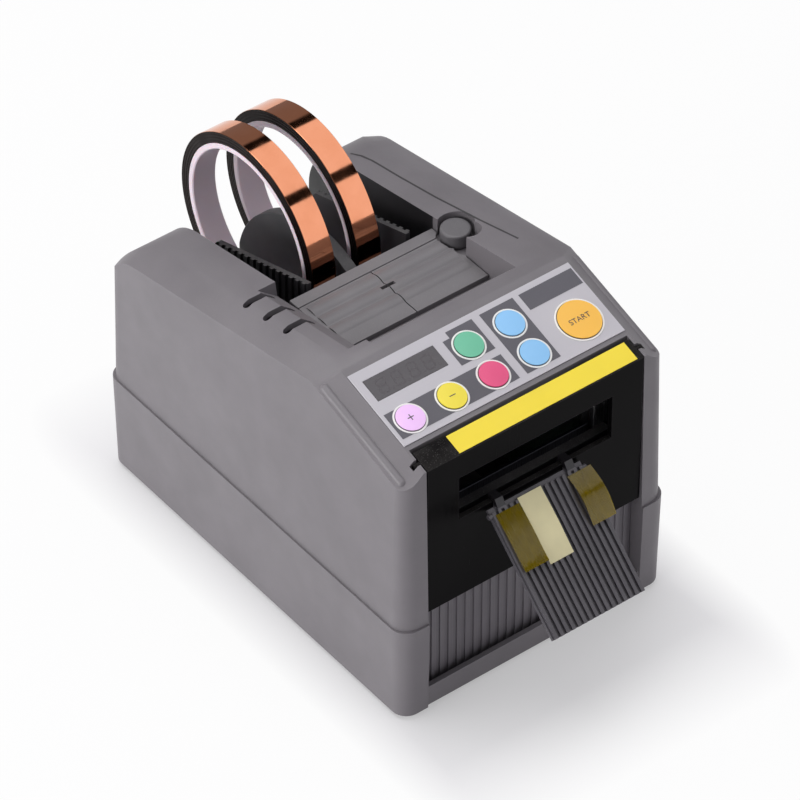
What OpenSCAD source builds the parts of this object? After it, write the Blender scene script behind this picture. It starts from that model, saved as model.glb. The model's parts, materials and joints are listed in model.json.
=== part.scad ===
// Electric tape dispenser: a desk machine that feeds tape from two rolls, cuts it and drops it on a chute
// Millimetres: lengths run back from the case front, heights up from the table, widths about the centre

/* [Case] */
// Width of the lower case at the parting line
case_w = 140; // [134:1:160]
// Length of the lower case at the parting line
case_l = 205.5; // [204:0.5:216]
// Height of the parting line above the table
parting_z = 50; // [48:0.5:53]
// Wall of both cases
wall = 2.5; // [2:0.1:3]
// Corner radius of both cases
corner_r = 8; // [7:0.5:12]
// Inset of the upper case behind the lower one
case_step = 1; // [0.5:0.1:1.5]
// Lean of the upper case walls in degrees
upper_lean = 1.2; // [0.4:0.1:1.6]
// Lean of the lower case walls in degrees
lower_lean = 1; // [0.4:0.1:2]
// Width of the front pillars
pillar_w = 14; // [12:0.5:15]
// Depth of the front pillars
pillar_d = 10; // [9:0.5:12]
// Height of the front lip above the table
lip_z = 12.4; // [8:0.2:18]
// Inset of the front lip behind the case front
lip_inset = 2; // [1:0.1:2.5]

/* [Top] */
// Height of the panel plane at the case front
panel_front_z = 131.8; // [130:0.2:136]
// Slope of the control panel in degrees
panel_slope = 16.5; // [15:0.5:18]
// Place of the ridge behind the panel
peak_y = 60; // [59:0.5:62]
// Radius of the ridge
peak_r = 20; // [12:1:24]
// Fall of the side housings behind the ridge in degrees
rear_slope = 10.5; // [9:0.5:12]
// Radius of the rear hump
hump_r = 28; // [24:1:34]
// Inset of the chamfer's upper edge from the case side
chamfer_inset = 16.8; // [14:0.2:18]
// Slope of the chamfer in degrees
chamfer_slope = 21; // [15:0.5:24]
// Distance past the hump's start at which the chamfer begins to run out
chamfer_fade = 5.5; // [4:0.5:8]
// Gap between the overlay and the shoulders that fall away beside the panel
shoulder_gap = 0.6; // [0.4:0.1:1]
// Slope of those shoulders across in degrees
shoulder_slope = 36; // [30:1:40]
// Radius of the bead along the panel shoulders
bead_r = 2.2; // [1.5:0.1:2.6]
// Inset of the bead's axis behind the upper case side
bead_inset = 4.8; // [4.4:0.1:5.4]
// Depth of the bead's axis below the shoulder
bead_drop = 1.4; // [1:0.1:1.8]
// Start of the bead's axis along the slope
bead_start = 6.5; // [6:0.1:8]
// Length of the bead's axis along the slope
bead_len = 52; // [46:1:53]

/* [Bay] */
// Width of the tape bay
bay_w = 75; // [74:0.5:78]
// Place of the bay's front wall
bay_front_y = 118; // [117:0.5:119]
// Height of the low wall behind the bay
bay_back_z = 60; // [56:0.5:64]
// Height of the guide pocket's floor
pocket_z = 130.5; // [130:0.1:131.5]
// Foot of the shelf behind the ridge
shelf_y = 80; // [78:0.5:82]
// Place of the shelf's upper edge behind the ridge
shelf_start = 3; // [2:0.5:5]
// Width of the slot that lets the tape pass under the guides
tape_slot_w = 62; // [56:1:64]
// Height of the slot in the bay's front wall
tape_slot_h = 14; // [10:1:16]
// Depth of the scoop in the left housing
scoop_drop = 7; // [5:0.5:8]
// Width of that scoop
scoop_w = 9; // [8:0.5:12]
// Length of that scoop behind the ridge
scoop_len = 68; // [64:1:70]
// Start of that scoop behind the ridge
scoop_start = 6; // [5:0.5:8]
// Width of a louvre slot in the scoop
louvre_w = 3.6; // [2.6:0.1:4.4]
// Pitch of the louvre slots
louvre_pitch = 13.8; // [12:0.2:15]
// Number of louvre slots
louvre_count = 3; // [2:1:3]
// Length of a louvre slot
louvre_len = 15.4; // [13:0.2:16]
// Reach of the louvre slots outside the scoop
louvre_reach = 10.3; // [8:0.1:11]
// Distance of the rearmost louvre slot from the scoop's end
louvre_end = 6; // [5:0.5:8]

/* [Panel] */
// Thickness of the panel overlay
overlay_t = 0.5; // [0.4:0.05:0.7]
// Inset of the overlay from the case sides
overlay_inset = 13.3; // [12.5:0.1:14]
// Lower edge of the overlay along the slope
overlay_low = 17; // [16.6:0.1:18]
// Upper edge of the overlay along the slope
overlay_high = 55.7; // [55:0.1:56.4]
// Thickness of the printed fields
field_t = 0.12; // [0.1:0.01:0.16]
// Reach of a field past its outer key centres
field_reach = 8.6; // [8:0.1:9.5]
// Reach of a field below its lower key centres
field_low = 6.6; // [6:0.1:7]
// Reach of the tall fields above the upper key centres
field_high = 9.8; // [9:0.1:10.5]
// Step in the corner of the middle field
field_notch = 3.7; // [3:0.1:5]
// Inset of the display window from the overlay's left edge
display_edge = 3.8; // [3.2:0.1:4.7]
// Gap between the display window and the field beside it
display_field_gap = 4.4; // [3.6:0.1:5.6]
// Lower edge of the display window along the slope
display_low = 39.7; // [39:0.1:40.5]
// Height of the display window along the slope
display_h = 10.9; // [10:0.1:11.5]
// Ledge that carries the display lens
lens_ledge = 1; // [0.6:0.1:1.6]
// Gap between the display module and its lens
display_gap = 0.6; // [0.4:0.1:0.9]
// Inset of the bare name plate from the overlay's right edge
plate_edge = 0.8; // [0.6:0.1:1.4]
// Gap between the name plate and the field beside it
plate_gap = 2.95; // [2.5:0.05:4]
// Lower edge of the name plate along the slope
plate_low = 44.4; // [43.5:0.1:45]
// Height of the name plate along the slope
plate_h = 8.4; // [7.5:0.1:9]

/* [Keys] */
// Inset of the first key column from the overlay's left edge
key_edge = 10.2; // [9.7:0.1:10.7]
// Share of the way from the first key to the start key that one column takes
key_share = 0.2358; // [0.234:0.0002:0.24]
// Lower key row along the slope
key_low_u = 26.6; // [26:0.1:27.2]
// Upper key row along the slope
key_high_u = 43.2; // [42.6:0.1:43.8]
// Radius of a small key
key_r = 6.2; // [5.6:0.1:6.4]
// Inset of the start key from the overlay's right edge
start_edge = 13.5; // [12.7:0.1:14.7]
// Start key along the slope
start_u = 30.4; // [29.5:0.1:31]
// Radius of the start key
start_r = 9.4; // [8.8:0.1:9.8]
// Width of the white rim round a key
key_rim = 0.8; // [0.6:0.05:1]
// Gap between a key and its rim
key_gap = 0.25; // [0.2:0.05:0.35]
// Height of a key rim above the overlay
key_rim_h = 0.3; // [0.2:0.05:0.4]
// Thickness of a key cap
key_cap_t = 0.5; // [0.4:0.05:0.6]
// Travel of a key
key_travel = 0.5; // [0.3:0.05:0.6]
// Clearance left under a key at the end of its travel
key_rest_gap = 0.3; // [0.3:0.05:0.5]
// Radius of a key stem
key_stem_r = 3.5; // [3:0.1:4]
// Depth of the control board below the panel
board_depth = 9; // [8.5:0.1:9.5]
// Thickness of the boards
board_t = 1.6; // [1.2:0.1:2]
// Side of a key switch
switch_w = 6; // [5:0.5:6.5]
// Height of a key switch
switch_h = 2.8; // [2.4:0.1:3]
// Radius of the posts that carry the control board
control_post_r = 2.2; // [1.8:0.1:2.6]

/* [Front] */
// Gap between the cover and the pillars
cover_gap = 0.5; // [0.4:0.1:1]
// Thickness of the cover
cover_t = 2.5; // [2:0.1:2.6]
// Inset of the cover behind the case front
cover_inset = 2.5; // [2:0.1:2.6]
// Height of the cover's lower edge
cover_low_z = 54.7; // [54:0.1:56]
// Depth of the cover's top flange from the case front
flange_y = 12.4; // [12:0.1:12.5]
// Gap between the flange and the panel deck
flange_gap = 1.8; // [1.6:0.1:2.2]
// Place of the cover hinge
hinge_y = 8; // [7.8:0.1:8.4]
// Depth of the hinge axis below the panel plane
hinge_drop = 1.7; // [1.6:0.1:1.9]
// Radius of the hinge pins
hinge_pin_r = 1.3; // [1.1:0.05:1.4]
// Reach of a hinge pin into its pillar
hinge_pin_len = 3; // [2.5:0.1:4]
// Length of a hinge pin inside the cover's flange
hinge_root = 2; // [1.5:0.1:3]
// Running clearance of pins, shafts and stems
run_gap = 0.06; // [0.03:0.01:0.1]
// Width of the exit window
window_w = 79; // [76:0.5:80]
// Lower edge of the exit window
window_low_z = 97.5; // [97:0.1:98]
// Height of the exit window
window_h = 22.5; // [20:0.5:23]
// Inset of the yellow strip from the flange's left end
strip_left = 16.6; // [14:0.2:18]
// Inset of the yellow strip from the flange's right end
strip_right = 2.8; // [2:0.1:4]
// Depth of the yellow strip along the slope
strip_d = 9.3; // [8.6:0.1:9.4]
// Thickness of the yellow strip
strip_t = 0.15; // [0.1:0.01:0.2]
// Glue under the yellow strip
strip_glue = 0.05; // [0.03:0.01:0.1]
// Inset of the yellow strip from the flange's rear edge
strip_inset = 0.3; // [0.2:0.05:0.5]
// Top of the ribbed front panel
grille_top_z = 58; // [57:0.5:60]
// Thickness of the ribbed front panel
grille_t = 2; // [1.5:0.1:2.2]
// Height of its ribs
grille_rib = 0.7; // [0.6:0.1:1]
// Pitch of its ribs
grille_pitch = 4.4; // [4:0.2:7]

/* [Chute] */
// Width of the chute
chute_w = 48; // [46:0.5:50]
// Middle of the chute
chute_x = -2; // [-3:0.1:0]
// Slope of the chute in degrees
chute_slope = 42.7; // [40:0.1:44]
// Length of the chute along its slope
chute_len = 57; // [52:0.5:62]
// Forward offset of the chute's upper corner pins
chute_y = -1; // [-1.5:0.1:-0.5]
// Height of the chute's upper corner pins
chute_z = 95.2; // [94.5:0.1:95.6]
// Thickness of the chute plate
chute_t = 1.5; // [1.2:0.1:2]
// Height of the chute ribs
chute_rib_h = 1.2; // [0.8:0.1:1.4]
// Pitch of the chute ribs
chute_pitch = 3; // [2.8:0.1:3.4]
// Plain edge beside the outer ribs of the chute
chute_edge = 0.5; // [0.4:0.1:1]
// Gap between the chute's upper end and the cover
chute_gap = 0.4; // [0.3:0.05:0.6]
// Radius of the chute's corner pins
chute_pin_r = 1.1; // [0.8:0.1:1.2]
// Length of the chute's corner pins
chute_pin_len = 3.2; // [2.6:0.1:4]
// Reach of the corner pins past the chute's sides
chute_pin_reach = 1.2; // [0.8:0.1:1.6]
// Distance of the corner pins from the ribs' upper ends
chute_pin_inset = 1; // [0.8:0.1:1.6]
// Width of the chute's hooks
hook_w = 4; // [3:0.5:6]
// Inset of the hooks from the chute's sides
hook_inset = 4; // [3:0.5:8]
// Thickness of the hooks over and behind the window's edge
hook_t = 1.5; // [1:0.1:1.7]
// Reach of the hooks below the window's edge
hook_drop = 5; // [4:0.5:7]
// Reach of the hooks in front of the cover
hook_front = 1; // [0.6:0.1:1.4]
// Thickness of a piece of tape
tape_t = 0.25; // [0.2:0.01:0.3]

/* [Rolls] */
// Radius of a full tape roll
roll_r = 46; // [45.5:0.1:46.4]
// Outer radius of a roll core
core_r = 41.5; // [41:0.1:42]
// Bore radius of a roll core
core_bore_r = 38; // [37:0.1:38.6]
// Width of a tape
tape_w = 12; // [11:0.5:12.5]
// Pitch of the two rolls
roll_pitch = 23.4; // [23:0.1:24]
// Place of the roll axis
roll_y = 173.1; // [172.5:0.1:174]
// Height of the roll axis
roll_z = 121.65; // [121:0.05:122.5]
// Gap between a roll and its support rollers
roll_gap = 0.3; // [0.3:0.05:0.6]
// Radius of a support roller
support_r = 4; // [3.5:0.1:4.3]
// Journal radius of a support roller
support_pin_r = 2; // [1.5:0.1:2.4]
// Angle of the front support roller below the roll in degrees
front_angle = 30; // [28:0.5:31]
// Angle of the rear support roller below the roll in degrees
rear_angle = 25; // [22:0.5:25]
// Radius of the divider between the rolls
divider_r = 53; // [50:0.5:54]
// Thickness of the divider
divider_t = 5.6; // [4:0.1:6]
// Gap between the divider and the support rollers
divider_gap = 0.5; // [0.3:0.1:1]
// Gap at each end of a support roller
support_end_gap = 0.4; // [0.3:0.05:0.8]

/* [Cradle] */
// Inner width between the cradle's side plates
cradle_w = 49; // [47:0.5:50]
// Thickness of the cradle's side plates
cradle_t = 2; // [1.6:0.1:2.4]
// Height of the cradle's underside
cradle_z = 20; // [18:0.5:21]
// Thickness of the cradle's floor
cradle_floor_t = 2.5; // [2:0.1:3]
// Gap between the cradle and the bay walls
cradle_gap = 1.5; // [1:0.1:2]
// Height of the side plates at the front
cradle_front_z = 135.2; // [133:0.2:136]
// Height of the side plates at their rear corner
cradle_mid_z = 115.5; // [113:0.5:117]
// Height of the side plates at the back
cradle_back_z = 86; // [84:0.5:90]
// Place of the side plates' rear corner
cradle_mid_y = 182; // [178:1:186]
// Pitch of the stiffening ribs
cradle_rib_pitch = 4.4; // [4:0.1:6]
// Height of the stiffening ribs
cradle_rib = 1; // [0.6:0.1:1.2]
// Plain edge before the first stiffening rib
cradle_rib_edge = 1; // [0.5:0.1:1.5]
// Top of the cradle's front wall
cradle_wall_z = 96.5; // [90:0.5:100]
// Rise of the cradle's rear wall above the low wall behind the bay
cradle_rear_rise = 6; // [4:0.5:8]

/* [Guides] */
// Thickness of the guide plates
guide_t = 2.5; // [2:0.1:3]
// Width of the low rounded ribs on the guide plates
guide_rib_w = 6.8; // [5:0.2:7]
// Rise of those ribs above the plate's face
guide_rib_h = 0.9; // [0.6:0.1:1.2]
// Pitch of those ribs
guide_rib_pitch = 7.6; // [7:0.1:8]
// Number of those ribs
guide_rib_count = 3; // [2:1:3]
// Distance of the first rib from the plate's front edge
guide_rib_start = 11; // [9:0.5:12]
// Inset of the ribs from the plate's outer side
guide_rib_inset = 2.5; // [1:0.5:3]
// Width of the notch across the seam of the guide plates
guide_notch_w = 2; // [1.5:0.1:3]
// Reach of that notch into each plate
guide_notch_d = 3; // [2:0.5:5]
// Gap between the guide plates, and round them
guide_gap = 0.5; // [0.4:0.05:0.8]
// Depth of the rear guide strip
guide_strip_d = 6; // [5:0.5:7]
// Place of the guide knob across
knob_x = 41.6; // [41:0.1:42.2]
// Place of the guide knob along
knob_y = 108; // [107:0.5:109]
// Radius of the guide knob
knob_r = 6.6; // [6:0.1:7]
// Height of the guide knob
knob_h = 7; // [6:0.5:9]
// Radius of the knob's stem
knob_stem_r = 2.5; // [2:0.1:3]
// Gap between the knob and its pocket
knob_gap = 1.4; // [1:0.1:1.8]
// Radius of the finger scoop in front of the knob
knob_scoop_r = 6; // [5:0.5:7]
// Gap under the guide knob
knob_seat_gap = 0.3; // [0.3:0.05:0.5]
// Reach of the knob's stem below the pocket's floor
knob_stem_len = 6; // [5:0.5:8]

/* [Feed] */
// Thickness of the feed frames
frame_t = 2; // [1.5:0.1:2.5]
// Front edge of the feed frames
frame_front = 13; // [12.8:0.1:13.2]
// Rear edge of the feed frames
frame_rear = 78; // [76:0.5:80]
// Foot of the feed frames
frame_low_z = 30; // [28:0.5:32]
// Top of the feed frames
frame_top_z = 122; // [121:0.5:123]
// Place of the feed roller
feed_y = 46; // [45:0.5:47]
// Height of the feed roller's axis
feed_z = 92; // [91.5:0.1:92.3]
// Radius of the feed roller
feed_r = 9; // [8.5:0.1:9.2]
// Length of the feed and pressure rollers
roller_len = 70; // [66:1:72]
// Radius of the feed shaft
feed_shaft_r = 3; // [2.5:0.1:3.5]
// Radius of the pressure roller
pressure_r = 7.6; // [7:0.1:7.8]
// Radius of the pressure shaft
pressure_shaft_r = 2.5; // [2:0.1:3]
// Gap at the nip of the two rollers
nip_gap = 0.4; // [0.3:0.05:0.6]
// Module of the gears
gear_module = 1.25; // [1.2:0.05:1.4]
// Teeth of the feed gear
gear_teeth = 24; // [23:1:28]
// Teeth of the motor pinion
pinion_teeth = 12; // [11:1:16]
// Width of the gears
gear_w = 6; // [4:0.5:7]
// Gap between the gears and the right frame
gear_gap = 1; // [0.6:0.1:1.5]
// Direction of the pinion below the feed shaft in degrees
pinion_angle = -50; // [-52:1:-48]
// Radius of the motors
motor_r = 12; // [11:0.1:12.3]
// Length of the motors
motor_len = 34; // [30:1:36]
// Radius of the motor shafts
motor_shaft_r = 1.5; // [1.2:0.1:1.8]
// Reach of a motor's shaft inside it
shaft_grip = 11; // [8:0.5:14]
// Clearance of the motor shafts in the sheet parts and behind their ends
shaft_clear = 1; // [0.5:0.1:1.5]
// Radius of the tie bars
tie_r = 2.5; // [2:0.1:3]
// Inset of the rear tie bars from the frames' rear edge
tie_inset = 6; // [5:0.5:8]
// Distance of the upper tie bar below the frames' top
tie_drop = 10; // [9:0.5:11]
// Distance of the lower tie bar above the frames' foot
tie_rise = 10; // [6:0.5:14]
// Place of the front tie bar
front_tie_y = 30; // [28:0.5:31]
// Distance of the front tie bar below the frames' top
front_tie_drop = 4; // [3.5:0.1:4.5]
// Inset of the frames' rear posts from their rear edge
frame_post_inset = 10; // [8:0.5:14]
// Thickness of the leaf springs
leaf_t = 0.5; // [0.3:0.05:0.8]
// Width of the leaf springs
leaf_w = 4; // [3:0.5:5]
// Distance of the leaf springs past the rollers' ends
leaf_out = 4; // [3:0.5:5]
// Reach of the leaf springs past the pressure shaft and their tie bar
leaf_tip = 2; // [1.5:0.1:3]
// Gap between the leaf springs and the feed frames
leaf_side_gap = 3; // [2.5:0.1:3.5]
// Gap between the leaf springs and the pressure shaft
leaf_gap = 0.3; // [0.3:0.05:0.5]
// Width of the tape sensor
sensor_w = 12; // [10:0.5:16]
// Depth of the tape sensor
sensor_d = 8; // [6:0.5:9]
// Height of the tape sensor
sensor_h = 7; // [5:0.5:7.5]

/* [Cutter] */
// Travel of the moving blade
cut_travel = 9; // [8:0.25:9.5]
// Rest height of the moving blade's edge
blade_edge_z = 106; // [105.6:0.1:106.4]
// Height of the fixed blade's edge
fixed_edge_z = 100.2; // [99.8:0.1:100.4]
// Thickness of both blades
blade_t = 1.5; // [1.2:0.1:1.8]
// Width of both blades
blade_w = 72; // [70:0.5:74]
// Gap between the blades' ends and the rails
blade_end_gap = 2.6; // [2:0.1:3]
// Height of both blades
blade_h = 14; // [13:0.5:15]
// Gap between the two blades
blade_gap = 0.3; // [0.3:0.05:0.5]
// Front face of the moving blade
blade_y = 14.7; // [14.6:0.1:14.8]
// Thickness of the blade carrier
carrier_t = 2; // [1.6:0.1:2.2]
// Gap between the carrier and its rails
rail_gap = 0.3; // [0.3:0.05:0.4]
// Web of a rail outside the carrier's edge
rail_web = 3.1; // [2.5:0.1:3.5]
// Reach of the rails over the carrier's edges
rail_grip = 2; // [1.5:0.1:2.5]
// Thickness of the rails behind the carrier
rail_back = 2.5; // [2:0.1:3]
// Margin of the carrier past the blade and the crank
carrier_margin = 1; // [0.5:0.1:1.5]
// Margin of the carrier's window below the fixed blade
carrier_window = 2; // [1:0.1:3]
// Height of the blades that stands clear of what carries them
blade_show = 4; // [3:0.5:5]
// Depth of the bar that carries the fixed blade
blade_bar_d = 4.4; // [3.5:0.1:4.8]
// Place of the crank across
crank_x = -10; // [-11:0.5:-9]
// Height of the crank's axis
crank_z = 66; // [65.5:0.1:66.5]
// Radius of the crank disc
crank_r = 9; // [8:0.5:10]
// Thickness of the crank disc
crank_t = 2.6; // [2:0.1:2.8]
// Radius of the crank pin
crank_pin_r = 1.5; // [1.2:0.1:1.8]
// Gap between the crank disc and the carrier
crank_gap = 0.7; // [0.5:0.1:1]
// Gap between the crank disc and the motor plate
crank_back_gap = 0.5; // [0.3:0.1:0.8]
// Recess of the crank pin's end in the carrier
crank_pin_recess = 0.2; // [0.1:0.1:0.5]
// Side clearance of the crank pin in the carrier's slot
crank_side_gap = 1; // [0.6:0.1:1.5]
// Height of the motor plate
motor_plate_h = 20; // [16:0.5:24]
// Reach of the motor plate below the crank's axis
motor_plate_drop = 16; // [14:0.5:18]
// Height clearance of the crank pin in the carrier's slot
crank_slack = 1.4; // [1.2:0.1:2]

/* [Electrics] */
// Height of the main board
main_board_z = 12; // [10:0.5:14]
// Width of the main board
main_board_w = 76; // [70:1:80]
// Front edge of the main board
main_board_front = 22; // [20:1:26]
// Length of the main board
main_board_l = 80; // [70:1:84]
// Bore of the power inlet
inlet_bore_r = 2.8; // [2.5:0.1:3]
// Depth of the power inlet's bore
inlet_bore_l = 9; // [8:0.5:10]
// Width of the power inlet and the switch
inlet_w = 12; // [10:0.5:14]
// Height of the power inlet and the switch
inlet_z = 24; // [20:0.5:28]
// Height of the switch body
switch_body_h = 20; // [18:0.5:22]
// Depth of the inlet and the switch body
inlet_d = 14; // [12:0.5:16]
// Tilt of the rocker in degrees
rocker_tilt = 8; // [6:1:10]
// Height of the inlet and the switch body above the case's back
inlet_proud = 0.5; // [0.3:0.1:1]
// Rim of the switch body round the rocker
rocker_rim = 2; // [1.8:0.1:2.4]
// Gap round the rocker
rocker_gap = 0.4; // [0.3:0.05:0.5]
// Depth of the switch body's pocket
rocker_pocket = 7; // [6.5:0.1:8]
// Depth of the rocker below the case's back
rocker_depth = 4.5; // [4:0.1:5]
// Height of the rocker's crown above the case's back
rocker_crown = 1; // [0.6:0.1:1.4]
// Height of the rocker's edges above the case's back
rocker_edge = 0.2; // [0.1:0.1:0.5]
// Inset of the rocker's foot from its edges
rocker_taper = 1.4; // [1.2:0.1:2]
// Depth of the rocker's pivot below the case's back
rocker_pivot = 2; // [1.6:0.1:2.4]
// Radius of the rocker's pins
rocker_pin_r = 1; // [0.8:0.1:1.2]
// Length of the rocker's pins
rocker_pin_len = 1.2; // [0.8:0.1:1.4]
// Width of the cover switch
cover_switch_w = 6; // [5:0.5:7]
// Height of the cover switch
cover_switch_h = 19; // [16:0.5:22]
// Inset of the cover switch's middle from the blades' left end
cover_switch_inset = 6; // [5:0.5:8]
// Height of the plunger above the cover switch's foot
plunger_rise = 9; // [8:0.5:10]
// Radius of the cover switch's plunger
plunger_r = 1; // [0.8:0.1:1.2]
// Gap between the plunger and the cover
plunger_gap = 0.3; // [0.3:0.05:0.6]
// Radius of the capacitors on the main board
capacitor_r = 5; // [4:0.5:6]
// Height of the capacitors
capacitor_h = 12; // [10:0.5:14]
// Pitch of the capacitors
capacitor_pitch = 14; // [13:0.5:16]

/* [Feet and screws] */
// Height of the feet
foot_h = 2; // [1.5:0.1:3]
// Radius of the feet
foot_r = 7; // [5:0.5:8]
// Inset of the feet from the case sides
foot_inset = 22; // [20:1:24]
// Inset of the feet from the case front and back
foot_end_inset = 34; // [32:1:40]
// Taper of the feet towards the table
foot_taper = 0.7; // [0.4:0.1:1.2]
// Radius of the case screws
screw_r = 1.5; // [1.2:0.1:1.8]
// Radius of the screw heads
screw_head_r = 3; // [2.6:0.1:3.2]
// Height of the screw heads
screw_head_h = 2; // [1.5:0.1:2.4]
// Reach of a screw into the upper case
screw_grip = 12; // [10:0.5:14]
// Inset of the screws from the case sides
screw_inset = 10; // [9.5:0.5:11]
// Radius of posts and bosses
post_r = 4.5; // [4:0.1:4.8]
// Gap between a post and the wall beside it
post_gap = 1; // [0.5:0.1:1.5]

/* [Hidden] */
$fn = 64;

// Small overlap that lets a cut run past the face it opens
cut = 1;
// Height that reaches past everything
tall = 200;
// Contact fit between fixed pieces that slide together
fit_gap = 0.1;
// Sink of a rib or pin into what it stands on
sink = 0.2;

// Where the case lies in the object's own frame: the middle of the whole length is the origin
chute_tip_y = chute_y - chute_len * cos(chute_slope);
depth_shift = -(chute_tip_y + roll_y + roll_r) / 2;

// Case lines, all at the outer face; d is a distance inside it
upper_w = case_w - 2 * case_step;
upper_l = case_l - 2 * case_step;
floor_z = foot_h + wall;
lower_draft = (parting_z - foot_h) * tan(lower_lean);
function panel_z(y, d = 0) = panel_front_z + y * tan(panel_slope) - d / cos(panel_slope);
peak_z = panel_z(peak_y);
function fall_z(y, d = 0) = peak_z - (y - peak_y) * tan(rear_slope) - d / cos(rear_slope);
function ridge_y(d) = peak_y
    + d * (1 / cos(panel_slope) - 1 / cos(rear_slope)) / (tan(panel_slope) + tan(rear_slope));
ridge_c = [ridge_y(peak_r), panel_z(ridge_y(peak_r), peak_r)];
rear_y = case_l - case_step;
hump_a = rear_y - hump_r / cos(upper_lean);
hump_rise = (hump_a + parting_z * tan(upper_lean) - peak_y) * tan(rear_slope);
hump_z = (peak_z - hump_rise - hump_r / cos(rear_slope)) / (1 - tan(upper_lean) * tan(rear_slope));
hump_y = hump_a - (hump_z - parting_z) * tan(upper_lean);
fall_len = (hump_y + hump_r * sin(rear_slope) - peak_y) / cos(rear_slope);
deck_front = flange_y + flange_gap;
opening_w = case_w - 2 * pillar_w;

// Roll and support roller places
support_reach = roll_r + support_r + roll_gap;
front_support = [roll_y - support_reach * sin(front_angle), roll_z - support_reach * cos(front_angle)];
rear_support = [roll_y + support_reach * sin(rear_angle), roll_z - support_reach * cos(rear_angle)];
cradle_front = bay_front_y + cradle_gap;
cradle_back = case_l - wall - cradle_gap;
cradle_top = cradle_z + cradle_floor_t;

// Feed places
rail_w = rail_web + rail_gap + rail_grip;
frame_w = max(roller_len + 2 * (leaf_out + leaf_w / 2 + leaf_side_gap),
    blade_w + 2 * (rail_w + blade_end_gap));
frame_foot_y = pillar_d + 2 * (post_r + post_gap);
pressure_z = feed_z + feed_r + pressure_r + nip_gap;
gear_pitch_r = gear_module * gear_teeth / 2;
pinion_pitch_r = gear_module * pinion_teeth / 2;
pinion_y = feed_y + (gear_pitch_r + pinion_pitch_r) * cos(pinion_angle);
pinion_z = feed_z + (gear_pitch_r + pinion_pitch_r) * sin(pinion_angle);
gear_x = frame_w / 2 + frame_t + gear_gap;
upper_tie = [frame_rear - tie_inset, frame_top_z - tie_drop];
lower_tie = [frame_rear - tie_inset, frame_low_z + tie_rise];
front_tie = [front_tie_y, frame_top_z - front_tie_drop];

// Cutter places
carrier_y = blade_y + blade_t;
carrier_w = frame_w - 2 * (rail_web + rail_gap);
blade_bar_y = blade_y - blade_gap - blade_t - blade_bar_d;
crank_y = carrier_y + carrier_t + crank_gap;
plate_y = crank_y + crank_t + crank_back_gap;
carrier_low_z = crank_z - cut_travel / 2 - carrier_margin;
carrier_top_z = blade_edge_z + blade_h + carrier_margin;

// Electrics places
inlet_x = (case_w / 2 - wall - lower_draft + bay_w / 2) / 2;
screw_rear_y = case_l - inlet_d - post_r - post_gap;

// Panel places across, and keys by column and row along the slope
overlay_w = case_w - 2 * overlay_inset;
shoulder_x = overlay_w / 2 + shoulder_gap;
key_first_x = key_edge - overlay_w / 2;
start_x = overlay_w / 2 - start_edge;
key_pitch = key_share * (start_x - key_first_x);
function key_x(i) = key_first_x + i * key_pitch;
small_keys = [[key_x(0), key_low_u], [key_x(1), key_low_u], [key_x(2), key_low_u], [key_x(2), key_high_u],
    [key_x(3), key_high_u], [key_x(3), key_low_u]];
start_key_at = [start_x, start_u];
display_left = display_edge - overlay_w / 2;
display_w = key_x(2) - field_reach - display_field_gap - display_left;
plate_left = key_x(3) + field_reach + plate_gap;
plate_w = overlay_w / 2 - plate_edge - plate_left;

// Cut tape on the chute: left edge, upper end along the chute, length
tape_places = [[-22.3, 0, 25], [-10, 0.5, 33.5], [13, -2, 22]];

// Parts of the main board: place on the board from its front middle, and size
capacitor_at = [-24, 22];
chip_at = [6, 16];
chip_size = [18, 10, 4];
coil_at = [4, 44];
coil_size = [26, 22, 12];

// Proportions of a gear tooth, in modules
tooth_root = 1.3;
tooth_tip = 0.85;
tooth_root_half = 0.85;
tooth_tip_half = 0.28;

case_grey = [0.40, 0.39, 0.40];
dark_grey = [0.20, 0.20, 0.21];
smoked = [0.05, 0.05, 0.055];
steel = [0.72, 0.73, 0.74];
board_green = [0.10, 0.35, 0.18];
white = [0.93, 0.93, 0.92];
overlay_grey = [0.66, 0.66, 0.70];
lens_black = [0.12, 0.11, 0.12];
lilac = [0.80, 0.56, 0.86];
key_yellow = [0.98, 0.86, 0.20];
key_pink = [0.90, 0.25, 0.50];
key_green = [0.30, 0.72, 0.50];
key_blue = [0.45, 0.70, 0.93];
key_orange = [0.98, 0.74, 0.25];
copper = [0.72, 0.38, 0.20];
brass = [0.80, 0.66, 0.30];
amber = [0.72, 0.60, 0.20];
strip_yellow = [0.96, 0.82, 0.10];

// Puts a piece drawn in case lengths into the object's frame
module placed() translate([0, depth_shift, 0]) children();

// A side view outline (length, height) made w wide, about the centre
module across(w) translate([-w / 2, 0, 0]) rotate([90, 0, 90]) linear_extrude(w) children();

// A side view outline (length, height) from x to x + w
module across_from(x, w) translate([x, 0, 0]) rotate([90, 0, 90]) linear_extrude(w) children();

// A front view outline (width, height) from y to y + l
module along_from(y, l) translate([0, y + l, 0]) rotate([90, 0, 0]) linear_extrude(l) children();

// A round bar along the width, from x to x + l, at a side view place
module bar(at, r, x, l) translate([x, at[0], at[1]]) rotate([0, 90, 0]) cylinder(h = l, r = r);

// A round bar along the length, from y to y + l
module rod(x, z, r, y, l) translate([x, y, z]) rotate([-90, 0, 0]) cylinder(h = l, r = r);

// The panel's own frame: width, distance up the slope, height above the panel
module on_panel() translate([0, 0, panel_front_z]) rotate([panel_slope, 0, 0]) children();

// The falling top's own frame, from the ridge
module on_fall() translate([0, peak_y, peak_z]) rotate([-rear_slope, 0, 0]) children();

// The chute's own frame: its rib tops lie at zero and it runs forward and down
module on_chute() translate([chute_x, chute_y, chute_z]) rotate([chute_slope, 0, 0]) children();

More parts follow.
